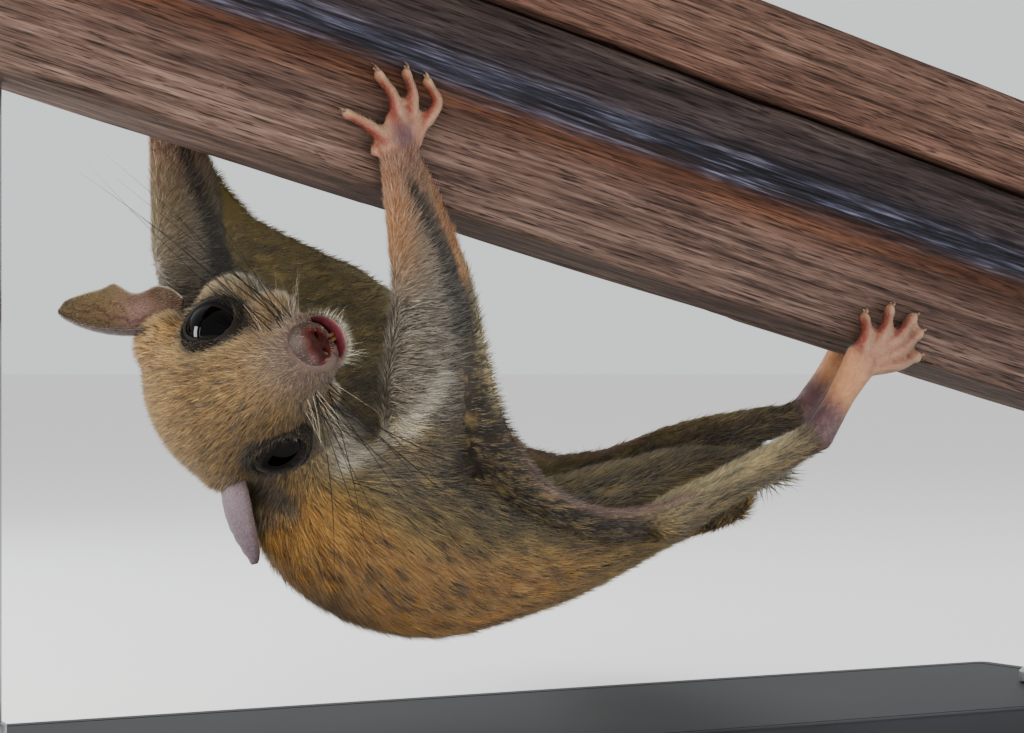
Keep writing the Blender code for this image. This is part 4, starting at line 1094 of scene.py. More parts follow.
def scatter(wanted):
    """Roots spread evenly, given how many each triangle should hold: triangles and places in them."""
    marks = np.floor(np.cumsum(wanted) + draw.random())
    counts = np.diff(np.concatenate([[0.0], marks])).astype(int)
    triangle = np.repeat(np.arange(len(counts)), counts)
    a = draw.random(len(triangle))
    b = draw.random(len(triangle))
    over = a + b > 1.0
    a[over], b[over] = 1.0 - a[over], 1.0 - b[over]
    return triangle, np.stack([1.0 - a - b, a, b], axis=1)


def at_roots(values, triangle, shares):
    rows = values[corners[triangle]]
    if rows.ndim == 2:
        return (rows * shares).sum(axis=1)
    return (rows * shares[:, :, None]).sum(axis=1)


# %% Tufts from arrays
SPIKE = np.array([(0, 2, 3), (2, 1, 3), (1, 0, 3), (1, 2, 0)])
BENT = np.array([
    (1, 0, 3), (1, 3, 4), (0, 2, 5), (0, 5, 3), (2, 1, 4), (2, 4, 5), (4, 3, 6), (3, 5, 6), (5, 4, 6), (1, 2, 0),
])
CORNER_SPOTS = np.array([(1, -1), (-1, -1), (0, -1), (1, 0), (-1, 0), (0, 0), (0, 1)])
PATCH = 0.003
SUNK = 0.2 * MM


def tufts(name, roots, normals, ways, lengths, widths, lifts, curls, colours, uvs, material, bent=False):
    """One mesh of three-sided spikes, or of bent ones."""
    count = len(roots)
    across = unit_rows(np.cross(normals, ways))
    ways = unit_rows(ways + across * curls[:, None])
    across = unit_rows(np.cross(normals, ways))
    rise = normals * np.sin(lifts)[:, None] + ways * np.cos(lifts)[:, None]
    root = roots - normals * SUNK
    wide = across * (0.5 * widths)[:, None]
    thick = normals * (0.5 * widths)[:, None]
    rings = [root + wide, root - wide, root + thick]
    if bent:
        over = unit_rows(normals * np.sin(0.3 * lifts)[:, None] + ways + across * 0.6 * curls[:, None])
        middle = root + rise * (0.5 * lengths)[:, None]
        rings += [middle + 0.85 * wide, middle - 0.85 * wide, middle + 0.85 * thick]
        rings += [middle + over * (0.5 * lengths)[:, None]]
    else:
        rings += [root + rise * lengths[:, None]]
        colours = colours[:, [0, 1, 2, 6]]
    size = len(rings)
    pattern, spots = (BENT, CORNER_SPOTS) if bent else (SPIKE, CORNER_SPOTS[[0, 1, 2, 6]])
    vertices = np.stack(rings, axis=1).reshape(-1, 3)
    faces = (pattern[None, :, :] + size * np.arange(count)[:, None, None]).reshape(-1)
    mesh = bpy.data.meshes.new(name)
    mesh.vertices.add(len(vertices))
    mesh.vertices.foreach_set("co", vertices.astype(np.float32).ravel())
    mesh.loops.add(len(faces))
    mesh.loops.foreach_set("vertex_index", faces.astype(np.int32))
    mesh.polygons.add(len(faces) // 3)
    mesh.polygons.foreach_set("loop_start", np.arange(0, len(faces), 3, dtype=np.int32))
    mesh.update(calc_edges=True)
    corner_uv = (uvs[:, None, :] + spots[None, :, :] * 0.5 * PATCH).reshape(-1, 2)[faces]
    layer = mesh.uv_layers.new(name="OFBake")
    layer.data.foreach_set("uv", corner_uv.astype(np.float32).ravel())
    paint(mesh, colours.reshape(-1, 3))
    mesh.materials.append(material)
    mesh.shade_smooth()
    thing = bpy.data.objects.new(name, mesh)
    bpy.context.scene.collection.objects.link(thing)
    return thing


print("a spike has", len(SPIKE), "faces and a bent tuft", len(BENT))

# %% [markdown]
# Each hair of this coat is banded: dark at the root, coloured in the middle, and often black or pale at
# the tip. The dark root is partly the hair's own dark base and partly painted shade deep in the coat.
# The bands are painted on the tuft's three rings, and the tip's colour is drawn for each tuft.
# %% Fur material and banding
def soft_fur():
    """Keratin: rough along the hair, with a weak sheen that lights the edge of the coat."""
    material, tree, shader = new_material(
        "banded_fur", "#a08050", 0.62, Specular_IOR_Level=0.28, Sheen_Weight=0.12, Sheen_Roughness=0.4
    )
    coat = add(tree, "Attribute", attribute_name="Coat").outputs["Color"]
    tree.links.new(coat, shader.inputs["Base Color"])
    return material


fur_material = soft_fur()
# Share of black tufts and of pale-tipped tufts by region
TIPS = {
    "head": (0.2, 0.22), "neck": (0.2, 0.3), "chest": (0.16, 0.16), "belly": (0.15, 0.2),
    "rump": (0.2, 0.2), "upper_arm": (0.2, 0.25), "forearm": (0.06, 0.2), "thigh": (0.2, 0.25),
    "shank": (0.12, 0.2), "membrane": (0.12, 0.14), "tail": (0.25, 0.2), "hand": (0.0, 0.5), "foot": (0.0, 0.4),
}


def banded(colours, black, pale, pale_shade, variety):
    """Root, middle and tip colours of each tuft, as seven rows."""
    count = len(colours)
    body = colours * np.exp(draw.normal(0.0, variety, count))[:, None]
    lot = draw.random(count)
    tip = body * 1.15
    is_black, is_pale = lot < black, lot > 1.0 - pale
    tip[is_black] = 0.3 * tip[is_black] + 0.7 * SHADE["charcoal"]
    body[is_black] = 0.5 * body[is_black] + 0.5 * SHADE["charcoal"]
    tip[is_pale] = 0.5 * tip[is_pale] + 0.5 * SHADE[pale_shade]
    # The dark root is partly the hair's own dark base and partly painted shade deep in the coat.
    root = 0.5 * body
    return np.stack([root, root, root, body, body, body, tip], axis=1)


# %% Grow the coat
MOST_FACES = 192000
BENT_REGIONS = ("tail",)
COOL_REGIONS = ("upper_arm", "forearm", "neck", "hand", "foot", "membrane")
triangle_owner = owner[corners[:, 0]]
REGION_SLOTS = {"head": "fur_orange", "chest": "fur_orange", "belly": "fur_orange", "rump": "fur_orange",
                "forearm": "fur_pale"}


def region_of(name):
    side, _, part = name.partition("_")
    return "tail" if name.startswith("tail") else part or name


def grow(region, numbers):
    _, density, length, width = COAT[region]
    triangle, shares = scatter(areas * np.isin(triangle_owner, numbers) * density)
    roots = at_roots(skin_points, triangle, shares)
    local = head_local(roots)
    lengths = np.full(len(roots), length * MM)
    if region == "head":
        ring = np.minimum(eye_rings(local, 1)[0], eye_rings(local, -1)[0])
        lengths *= (1.0 - 0.58 * step(local[:, 0], 5.0, 18.0)) * (0.4 + 0.6 * step(ring, 1.1, 2.4))
        on_pad = np.hypot((local[:, 1] - NOSE_MIDDLE[1]) / 4.4, (local[:, 2] - NOSE_MIDDLE[2]) / 3.7)
        keep = (ring > 1.12) & ((local[:, 0] < 15.0) | ((on_pad > 1.1) & (np.abs(local[:, 2] - MOUTH_LEVEL) > 1.0)))
        triangle, shares, roots, lengths = triangle[keep], shares[keep], roots[keep], lengths[keep]
    if region == "tail":
        _, foot, share = along_line(roots / MM, TAIL_LINE)
        flat_share = np.abs((roots / MM - foot)[:, 0]) / 7.0
        lengths *= 0.75 + 0.55 * np.clip(flat_share, 0.0, 1.0) + 0.5 * step(share, 0.86, 1.0)
    if region in ("hand", "foot"):
        tips = [tip for side in SIDES for (_, _, tip), _ in digits(side)]
        nearest = np.min([np.linalg.norm(roots / MM - np.array(tip), axis=1) for tip in tips], axis=0)
        keep = nearest > 2.4
        triangle, shares, roots, lengths = triangle[keep], shares[keep], roots[keep], lengths[keep]
    count = len(roots)
    lie = unit_rows(at_roots(ways, triangle, shares))
    upright = unit_rows(at_roots(skin_normals, triangle, shares))
    lean = np.arcsin(np.clip((lie * upright).sum(axis=1), 0.0, 1.0))
    lie = unit_rows(lie - upright * (lie * upright).sum(axis=1)[:, None])
    sway = np.array([noise.noise(Vector(row)) for row in roots / (3.5 * MM)])
    lengths *= draw.uniform(0.7, 1.25, count)
    lifts = np.radians(15.0 + 6.0 * (region == "tail") - 6.0 * (region == "membrane")) * draw.uniform(0.5, 1.6, count)
    if region == "tail":
        lifts += lean * step(along_line(roots / MM, TAIL_LINE)[2], 0.9, 0.98)
    if region == "head":
        lifts += np.radians(13.0) * step(head_local(roots)[:, 0], 8.0, 14.0)
    uvs = (skin_uv[corner_loops[triangle]] * shares[:, :, None]).sum(axis=1)
    tone = marked(roots, lie, triangle_owner[triangle], at_roots(skin_ground, triangle, shares))
    colours = banded(tone, *TIPS[region], "white" if region in COOL_REGIONS else "tip", 0.34 if region == "head" else 0.24)
    bent = region in BENT_REGIONS
    pieces = math.ceil(count * len(BENT if bent else SPIKE) / MOST_FACES)
    for number, chunk in enumerate(np.array_split(np.argsort(roots[:, 0]), pieces)):
        piece = tufts(
            f"coat_{region}_{number + 1}", roots[chunk], upright[chunk], lie[chunk], lengths[chunk],
            np.full(len(chunk), width * MM), lifts[chunk], 0.35 * sway[chunk] + draw.normal(0.0, 0.16, len(chunk)),
            colours[chunk], uvs[chunk], fur_material, bent,
        )
        settle(piece, REGION_SLOTS.get(region, "fur_grey"))
    return count


regions = {}
for number, name in enumerate(FLESH):
    regions.setdefault(region_of(name), []).append(number)
grown = {region: grow(region, numbers) for region, numbers in regions.items()}
print(grown, "in all", sum(grown.values()), "tufts")

# %% [markdown]
# ## The eyes
# A night animal has big dark eyes: a clear domed cornea over an almost black iris. The lids are a band
# of dark skin that lies on the ball, rolls over at the opening, and dives under the fur further out.
# %% Eyeballs
def wet_eye():
    """Cornea over a brown-black iris: smooth and wet, so it mirrors the window."""
    material, tree, shader = new_material("wet_cornea", "#040303", 0.02, IOR=1.34, Specular_IOR_Level=0.35)
    return material


def eye_axes(sign):
    """Gaze, corner and upward directions of an eye, in the frame."""
    normal = HEAD_TURN @ on_side(EYE_NORMAL, sign)
    along = HEAD_TURN @ on_side(EYE_CORNERS, sign)
    return normal, along, normal.cross(along) * sign


eye_material = wet_eye()
for side, sign in SIDES.items():
    work = bmesh.new()
    bmesh.ops.create_uvsphere(work, u_segments=64, v_segments=40, radius=EYE_RADIUS * MM)
    bmesh.ops.translate(work, verts=work.verts, vec=head_point(*on_side(EYE_PLACE, sign)))
    settle(finish_mesh(work, f"{side}_eyeball", eye_material), "eye", f"{side}_eye")

# %% [markdown]
# The lid's grid runs round the opening and out from its edge. Its radius from the middle of the eye
# says where it touches the ball, where it is thickest, and where it goes under.
# %% Lids
LID_STEPS = ((0.0, 6.4), (0.03, 6.5), (0.08, 6.58), (0.16, 6.64), (0.3, 6.7), (0.5, 6.78), (0.75, 6.82), (1.0, 6.6))
LID_OUTER = (6.3, 6.0)
LID_AROUND = 120


def patch_grid(rows, columns, place, closed=False):
    """A bmesh grid whose vertices are placed by a function of their row and column."""
    work = bmesh.new()
    grid = [[work.verts.new(place(r, c)) for c in range(columns)] for r in range(rows)]
    for r in range(rows - 1):
        for c in range(columns if closed else columns - 1):
            d = (c + 1) % columns
            work.faces.new((grid[r][c], grid[r][d], grid[r + 1][d], grid[r + 1][c]))
    return work


def lid(sign):
    normal, along, upward = eye_axes(sign)
    centre = head_point(*on_side(EYE_PLACE, sign))
    middle, (back, ahead, across), slant = LIDS[sign]
    turn = Matrix.Rotation(math.radians(slant), 2)

    def place(row, column):
        share, radius = LID_STEPS[row]
        angle = 2.0 * math.pi * column / LID_AROUND
        front = max(0.0, -math.cos(angle))
        reach = ahead if front > 0.0 else back
        inner = Vector((reach * math.cos(angle) * (1.0 + 0.2 * front**6), across * math.sin(angle)))
        inner = Vector(middle) + turn @ inner
        outer = Vector((LID_OUTER[0] * math.cos(angle), LID_OUTER[1] * math.sin(angle)))
        flat = inner.lerp(outer, share)
        flat *= min(1.0, 0.985 * radius / max(flat.length, 1e-6))
        out = math.sqrt(max(radius * radius - flat.length_squared, 0.0))
        return centre + (along * flat.x + upward * flat.y + normal * out) * MM

    work = patch_grid(len(LID_STEPS), LID_AROUND, place, closed=True)
    bmesh.ops.recalc_face_normals(work, faces=work.faces)
    work.faces.ensure_lookup_table()
    face = work.faces[LID_AROUND * 4]
    if face.normal.dot(face.calc_center_median() - centre) < 0.0:
        bmesh.ops.reverse_faces(work, faces=work.faces)
    return work


def lid_skin():
    """Black eyelid skin with a fine grain."""
    material, tree, shader = new_material("eyelid_skin", "#100c0b", 0.7, Specular_IOR_Level=0.25)
    bump(tree, shader, noise_at(tree, object_place(tree, (0.4, 0.4, 0.4)), 1.0, 3.0), 0.08, 0.7)
    return material


def plant(mesh, name, density, length, width, lift, colour_of, way_of, slot, keep_of=None):
    """Grow short hairs on a small piece; colour, way and keeping are functions of the roots."""
    corner_points, _ = triangles_of(mesh)
    spots, uprights = points_of(mesh), vertex_normals(mesh)
    a, b, c = (spots[corner_points[:, k]] for k in range(3))
    size = 0.5 * np.linalg.norm(np.cross(b - a, c - a), axis=1) / MM**2
    triangle, shares = scatter(size * density)
    roots = (spots[corner_points[triangle]] * shares[:, :, None]).sum(axis=1)
    upright = unit_rows((uprights[corner_points[triangle]] * shares[:, :, None]).sum(axis=1))
    if keep_of is not None:
        keep = keep_of(roots)
        roots, upright = roots[keep], upright[keep]
    lie = way_of(roots)
    lie = unit_rows(lie - upright * (lie * upright).sum(axis=1)[:, None])
    count = len(roots)
    body = colour_of(roots) * np.exp(draw.normal(0.0, 0.2, count))[:, None]
    # The darker roots are partly the hairs' own base and partly painted shade deep in the coat.
    colours = np.stack([0.6 * body] * 3 + [body] * 4, axis=1)
    flat_place = (roots - roots.min(axis=0)) / max(float(np.ptp(roots, axis=0).max()), 1e-9) * 0.96 + 0.02
    lifts = np.radians(lift) * draw.uniform(0.5, 1.6, count)
    piece = tufts(
        name, roots, upright, lie, length * MM * draw.uniform(0.6, 1.3, count), np.full(count, width * MM),
        lifts, draw.normal(0.0, 0.25, count), colours, flat_place[:, [0, 2]], fur_material,
    )
    return settle(piece, slot)


lid_material = lid_skin()
for side, sign in SIDES.items():
    piece = finish_mesh(lid(sign), f"{side}_eyelid", lid_material)
    settle(piece, "skin_ear")
    gaze_middle = np.array(head_point(*on_side(EYE_PLACE + EYE_NORMAL * EYE_RADIUS, sign)))
    plant(
        piece.data, f"coat_{side}_lid", 30.0, 0.95, 0.1, 24.0,
        lambda roots: plain("charcoal", len(roots)) * draw.uniform(0.4, 1.5, (len(roots), 1)), lambda roots, middle=gaze_middle: roots - middle, "fur_orange",
        lambda roots, sign=sign: eye_rings(head_local(roots), sign)[0] > 1.16,
    )

# %% [markdown]
# ## The ears
# An ear is a thin leaf with two unlike margins: the upper one has a corner and runs into the fold at the
# root, the lower one is full and rolls forwards. Knots give the width of each half along the ear, and a
# curve through them is bent into a cup.
# %% Ear leaves
EARS = {
    "left": (1, (-14.5, 17.5, 2.0), (-0.42, 0.60, 0.68), (0.88, 0.47, 0.0), (35.0, 12.0), (100.0, 70.0), 1.4),
    "right": (-1, (-13.3, 11.8, 5.5), (-0.22, 0.94, 0.10), (0.30, 0.30, -0.90), (95.0, 50.0), (90.0, 60.0), 2.0),
}
EAR_LENGTH = 20.3
EAR_ROOT = -3.0
UPPER_KNOTS = ((-3, 6.5), (0, 8.2), (3, 8.6), (5.2, 7.3), (7.1, 6.9), (9.5, 7.9), (11.2, 8.5), (13, 7.1), (15.5, 5.6),
               (17.6, 4.1), (19.0, 2.9), (19.9, 1.6), (20.3, 0.02))
LOWER_KNOTS = ((-3, 3.0), (0, 4.4), (3, 5.9), (5.5, 6.9), (7.9, 7.3), (10.1, 7.3), (13.4, 6.7), (16.4, 5.4),
               (18.5, 3.9), (19.5, 2.7), (20.1, 1.4), (20.3, 0.02))


def through(knots, place):
    """A smooth curve through knots of place and value."""
    x, y = np.array(knots, dtype=float).T
    slope = np.gradient(y, x)
    k = int(np.clip(np.searchsorted(x, place) - 1, 0, len(x) - 2))
    gap = x[k + 1] - x[k]
    t = (place - x[k]) / gap
    ease = t * t * (3.0 - 2.0 * t)
    pull = gap * (slope[k] * t * (1.0 - t) ** 2 - slope[k + 1] * t * t * (1.0 - t))
    return float(y[k] * (1.0 - ease) + y[k + 1] * ease + pull)


def ear_leaf(sign, root_place, way, cup_way, upper_curl, lower_curl, bow):
    length_axis = (HEAD_TURN @ on_side(way, sign)).normalized()
    cup_axis = HEAD_TURN @ on_side(cup_way, sign)
    cup_axis = (cup_axis - length_axis * cup_axis.dot(length_axis)).normalized()
    across_axis = length_axis.cross(cup_axis) * sign
    root = head_point(*on_side(root_place, sign))
    work = bmesh.new()
    bmesh.ops.create_grid(work, x_segments=84, y_segments=60, size=1.0)
    layer = work.verts.layers.float_vector.new("Leaf")
    for vert in work.verts:
        along = EAR_ROOT + (EAR_LENGTH - EAR_ROOT) * math.sin(0.5 * math.pi * (vert.co.x + 1.0) / 2.0)
        share = vert.co.y
        free = max(along / EAR_LENGTH, 0.0)
        knots, (curl_root, curl_tip) = (UPPER_KNOTS, upper_curl) if share > 0.0 else (LOWER_KNOTS, lower_curl)
        width = max(through(knots, along), 0.01)
        curl = math.radians(curl_root + (curl_tip - curl_root) * free)
        radius = width / curl
        angle = abs(share) * curl
        pleat = 0.08 * math.sin(along * 2.4 + 2.0 * share) * (1.0 - abs(share)) * free
        cup = radius * (1.0 - math.cos(angle)) - bow * math.sin(math.pi * min(free, 1.0)) + pleat
        vert[layer] = (along / EAR_LENGTH, share, width)
        flat = math.copysign(radius * math.sin(angle), share)
        vert.co = root + (length_axis * along + across_axis * flat + cup_axis * cup) * MM
    bmesh.ops.recalc_face_normals(work, faces=work.faces)
    middle = min(work.faces, key=lambda face: abs(face.verts[0][layer][1]) + abs(face.verts[0][layer][0] - 0.5))
    if middle.normal.dot(cup_axis) < 0.0:
        bmesh.ops.reverse_faces(work, faces=work.faces)
    return work


# %% Ear skin and wall
def ear_skin(name, specular, crease_mm):
    """Almost bare skin, thin enough for veins to show."""
    material, tree, shader = new_material(name, "#9c8466", 0.55, Specular_IOR_Level=specular)
    leaf = add(tree, "Attribute", attribute_name="Coat").outputs["Color"]
    speckle = noise_at(tree, object_place(tree, (0.5, 0.5, 0.5)), 1.0, 4.0, 0.7)
    worn = mix(tree, 0.5, leaf, ramp(tree, speckle, [(0.35, "#a09088"), (0.65, "#ffffff")]), "MULTIPLY")
    tree.links.new(worn, shader.inputs["Base Color"])
    bump(tree, shader, noise_at(tree, object_place(tree, (crease_mm,) * 3), 1.0, 4.0), 0.14, 0.7)
    return material


VEINS = (
    ((0.0, 0.2), (0.3, 0.16), (0.45, 0.12), (0.6, 0.30), (0.75, 0.28), (0.92, 0.2)),
    ((0.45, 0.12), (0.62, -0.02), (0.8, -0.08), (0.93, -0.1)),
    ((0.2, 0.14), (0.36, -0.3), (0.55, -0.4), (0.75, -0.45)),
    ((0.62, 0.3), (0.72, 0.5), (0.82, 0.55)),
    ((0.35, 0.2), (0.45, 0.5), (0.55, 0.62)),
)


def vein_share(leaf):
    """1 on a vein's line and 0 a third of a millimetre off it."""
    place = np.stack([leaf[:, 0] * EAR_LENGTH, leaf[:, 1] * 7.0, np.zeros(len(leaf))], axis=1)
    place[:, 1] += 0.5 * np.sin(place[:, 0] * 1.3) + 0.25 * np.sin(place[:, 0] * 3.1)
    share = np.zeros(len(leaf))
    for number, line in enumerate(VEINS):
        width = 0.62 if number == 0 else 0.34
        points = [(t * EAR_LENGTH, s * 7.0, 0.0) for t, s in line]
        share = np.maximum(share, step(away_from(place, points), width, 0.3 * width))
    return share


def ear_colours(leaf, inside):
    t, s = leaf[:, 0], leaf[:, 1]
    edge = (1.0 - np.abs(s)) * leaf[:, 2]
    if not inside:
        return blend_to(plain("leather", len(leaf)), "umber", np.maximum(0.7 * step(t, 0.3, -0.05), 0.7 * step(edge, 1.4, 0.2)))
    colours = np.tile(np.array(linear("#6e5d42")), (len(leaf), 1))
    colours = blend_to(colours, "mauve", 0.8 * step(t, 0.6, 0.2))
    colours = blend_to(colours, "brown", 0.7 * step(t, 0.3, 0.02) + 0.6 * step(s, 0.45, 0.85) * step(t, 0.55, 0.35))
    colours = blend_to(colours, "crimson", 0.55 * vein_share(leaf))
    colours = blend_to(colours, "umber", 0.85 * step(s, -0.55, -0.9) + 0.7 * step(t, 0.8, 1.0) * step(np.abs(s - 0.1), 0.1, 0.6))
    return blend_to(colours, "white", 0.55 * step(edge, 0.35, 0.1) * (s > 0.0))


ear_inside = ear_skin("ear_inner_skin", 0.3, 0.7)
ear_outside = ear_skin("ear_outer_skin", 0.25, 0.5)
for side, placing in EARS.items():
    ear = finish_mesh(ear_leaf(*placing), f"{side}_ear_leaf", ear_inside)
    flat = np.empty(len(ear.data.vertices) * 3, dtype=np.float32)
    ear.data.attributes["Leaf"].data.foreach_get("vector", flat)
    leaf = flat.reshape(-1, 3).astype(float)
    inner_points, inner_normals = points_of(ear.data), vertex_normals(ear.data)
    thick = 0.5 * MM * (1.0 - 0.5 * np.clip(leaf[:, 0], 0.0, 1.0))
    grid = bmesh.new()
    grid.from_mesh(ear.data)
    inner_faces = [[v.index for v in face.verts] for face in grid.faces]
    border = [[v.index for v in edge.verts] for edge in grid.edges if edge.is_boundary]
    grid.free()
    count = len(inner_points)
    shell = np.concatenate([inner_points, inner_points - inner_normals * thick[:, None]])
    faces = inner_faces + [[v + count for v in reversed(face)] for face in inner_faces]
    faces += [[a, b, b + count, a + count] for a, b in border]
    mesh = bpy.data.meshes.new(f"{side}_ear_leaf")
    mesh.from_pydata(shell, [], faces)
    mesh.materials.append(ear_inside)
    mesh.materials.append(ear_outside)
    for number, face in enumerate(mesh.polygons):
        face.material_index = 1 if number >= len(inner_faces) else 0
    mesh.shade_smooth()
    paint(mesh, np.concatenate([ear_colours(leaf, True), ear_colours(leaf, False)]))
    work = bmesh.new()
    work.from_mesh(mesh)
    bmesh.ops.recalc_face_normals(work, faces=work.faces)
    work.to_mesh(mesh)
    work.free()
    ear.data = mesh
    settle(ear, "skin_ear", f"{side}_ear")
    tip = np.array(shell[np.argmax(leaf[:, 0])])
    plant(
        mesh, f"coat_{side}_ear", 7.0, 0.8, 0.07, 16.0,
        lambda roots: plain("white", len(roots)) * 0.5, lambda roots, tip=tip: tip - roots, "fur_grey",
    )

# %% [markdown]
# ## Nose, mouth and teeth
# The nose is a small moist cushion between two whisker pads. A ball is pressed in along the groove that
# runs down to the lip, in the two comma-shaped nostrils, and round each wing of the nose. The same
# places carry its colours, from raw red in the nostrils to mauve on the pads, with painted shade laid
# over them: near-black in the nostrils, umber over the nose's left half, and a darker core and creases
# that are partly the skin's own colour.
# %% Nose and whisker pads


def thumb(places, centre, size):
    """How strongly each place feels a soft thumb at a centre, from 0 to 1."""
    return np.exp(-(((places - np.array(centre)) / np.array(size)) ** 2).sum(axis=1))


def nose_features(places):
    """Nostrils, grooves and pads of places given across and up from the nose's middle."""
    both = np.stack([np.abs(places[:, 0]), places[:, 1]], axis=1)
    nostrils = thumb(both, (1.45, -0.3), (0.7, 0.45)) + 0.7 * thumb(both, (2.15, -0.7), (0.4, 0.4))
    groove = thumb(both, (0.0, -2.7), (0.28, 1.6)) + 0.4 * thumb(both, (0.0, 1.5), (0.4, 1.2))
    wings = thumb(both, (3.0, 0.1), (0.35, 1.0)) + thumb(both, (1.7, -1.6), (1.3, 0.28))
    pads = thumb(both, (2.5, -2.7), (1.4, 1.1)) + 0.6 * thumb(both, (2.2, 2.2), (1.3, 1.1))
    top = thumb(both, (1.5, 0.55), (1.2, 0.35))
    return nostrils, groove, wings, pads, top


def nose_pad():
    work = bmesh.new()
    bmesh.ops.create_icosphere(work, subdivisions=6, radius=1.0)
    unit = np.array([v.co[:] for v in work.verts])
    places = unit[:, 1:] * np.array(NOSE_SIZES[1:])
    nostrils, groove, wings, pads, top = nose_features(places)
    front = step(unit[:, 0], 0.0, 0.5)
    rise = 0.5 * pads + 0.35 * top - 1.5 * nostrils - 0.75 * groove - 0.5 * wings
    middle = np.array(NOSE_MIDDLE)
    local = middle + unit * np.array(NOSE_SIZES)
    local[:, 0] += rise * front
    for vert, place in zip(work.verts, local):
        vert.co = head_point(*place)
    raw = np.clip(nostrils, 0.0, 1.0)
    core = np.hypot(places[:, 0] / 3.0, (places[:, 1] + 0.1) / 1.9)
    colours = blend_to(plain("muzzle", len(unit)) * 0.36, "mauve", 0.3 * np.clip(pads, 0.0, 1.0))
    # Umber over the nose's left half is painted shade.
    colours = blend_to(colours, "umber", 0.6 * step(unit[:, 1], -0.2, 0.7) * step(unit[:, 2], -0.7, 0.3))
    # The core round the nostrils is darkened: partly the nose's own dark skin and partly painted shade.
    colours = blend_to(colours, "red", 0.7 * step(core, 1.7, 0.8)) * (1.0 - 0.8 * step(core, 1.6, 0.7))[:, None]
    # Dark red in the wings and the groove is partly the skin's own colour and partly painted shade in the creases.
    colours = blend_to(colours, "red", np.clip(0.5 * wings + 0.5 * groove + 0.6 * step(raw, 0.08, 0.4), 0.0, 0.9))
    colours = blend_to(colours, "crimson", 0.8 * step(unit[:, 2], -0.6, -0.9))
    # Near-black in the nostrils is painted shade in the openings.
    colours = blend_to(colours, "dark", step(raw, 0.4, 0.8))
    return work, colours


def moist_skin(name, roughness):
    """Bare moist skin: a pebbled surface with a weak wet shine."""
    material, tree, shader = new_material(name, "#a5776f", roughness, Specular_IOR_Level=0.25)
    coat = add(tree, "Attribute", attribute_name="Coat").outputs["Color"]
    patch = noise_at(tree, object_place(tree, (0.8, 0.8, 0.8)), 1.0, 4.0, 0.7)
    tone = mix(tree, 0.6, coat, ramp(tree, patch, [(0.35, "#9a8c8c"), (0.65, "#ffffff")]), "MULTIPLY")
    tree.links.new(tone, shader.inputs["Base Color"])
    pebble = noise_at(tree, object_place(tree, (0.3, 0.3, 0.3)), 1.0, 2.0)
    bump(tree, shader, pebble, 0.09, 0.7)
    return material


moist = moist_skin("moist_nose_skin", 0.55)
work, nose_colours = nose_pad()
nose = finish_mesh(work, "nose_pad", moist, outward=True)
paint(nose.data, nose_colours)
settle(nose, "skin_pink")


def muzzle_way(roots):
    """Fuzz on the pads grows outwards from between the nostrils."""
    return roots - np.array(head_point(22.0, 0.0, -6.0))


def muzzle_keep(roots):
    places = head_local(roots) - np.array(NOSE_MIDDLE)
    away = np.hypot(places[:, 1] / 2.6, (places[:, 2] - 0.6) / 1.7)
    return (places[:, 0] > -1.0) & (draw.random(len(roots)) < 0.3 * step(away, 1.0, 1.7)) & (np.abs(places[:, 1]) > 0.4)


plant(nose.data, "coat_muzzle", 16.0, 0.95, 0.07, 24.0, lambda roots: plain("white", len(roots)) * 0.55,
      muzzle_way, "fur_grey", muzzle_keep)

# %% [markdown]
# The lower lip is a crescent of raw pink flesh that shows below the front teeth, with a pale furred rim.
# %% Lower lip and incisors
LIP_AROUND = 48
LIP_SECTION = 14
LIP_LEVEL = -11.7


def lower_lip():
    """A half ring that follows the jaw; its section is an egg, flat towards the mouth."""
    def place(row, column):
        sweep = math.pi * (row / (LIP_AROUND - 1) * 1.12 - 0.06)
        angle = 2.0 * math.pi * column / LIP_SECTION
        size = 1.35 * (0.45 + 0.55 * math.sin(min(max(sweep, 0.0), math.pi)))
        roll, rise = size * math.cos(angle), 0.9 * size * math.sin(angle)
        forward = 11.8 + (8.4 + roll) * math.sin(sweep)
        return head_point(forward, NOSE_MIDDLE[1] + (4.7 + 0.6 * roll) * math.cos(sweep), LIP_LEVEL + rise)

    return patch_grid(LIP_AROUND, LIP_SECTION, place, closed=True)


work = lower_lip()
local = head_local(np.array([v.co[:] for v in work.verts]))
lip_colours = blend_to(plain("lip", len(local)), "crimson", 0.9 * step(local[:, 2], LIP_LEVEL - 0.1, LIP_LEVEL + 0.5))
lip_colours = blend_to(lip_colours, "white", 0.6 * step(local[:, 2], LIP_LEVEL - 0.2, LIP_LEVEL - 0.8))
lip = finish_mesh(work, "lower_lip", moist, outward=True)
paint(lip.data, lip_colours)
settle(lip, "skin_pink")
plant(lip.data, "coat_lip", 7.0, 2.4, 0.07, 45.0, lambda roots: plain("white", len(roots)),
      lambda roots: roots - np.array(head_point(12.0, 0.0, -9.0)), "fur_pale",
      lambda roots: head_local(roots)[:, 2] < LIP_LEVEL - 0.2)


def incisor_pair():
    work = bmesh.new()
    for sign in (1, -1):
        start = len(work.verts)
        bmesh.ops.create_cone(work, cap_ends=True, segments=16, radius1=0.4, radius2=0.36, depth=1.6)
        work.verts.ensure_lookup_table()
        for vert in work.verts[start:]:
            f, l, c = vert.co.x * 0.6, vert.co.y, vert.co.z
            vert.co = head_point(20.4 + f - 0.35 * c, NOSE_MIDDLE[1] + sign * 0.42 + l, MOUTH_LEVEL + 0.2 + c)
    return work


enamel, _, _ = new_material("orange_tooth_enamel", "#4a2f18", 0.4)
settle(finish_mesh(incisor_pair(), "incisor_pair", enamel, outward=True), "tooth", "incisors")

# %% [markdown]
# ## Claws
# Each finger and toe ends in a small hooked claw, narrow from side to side. A cone is bent and set on
# the last point of the digit's chain.
# %% Horn claws
CLAW_LENGTH = 2.0


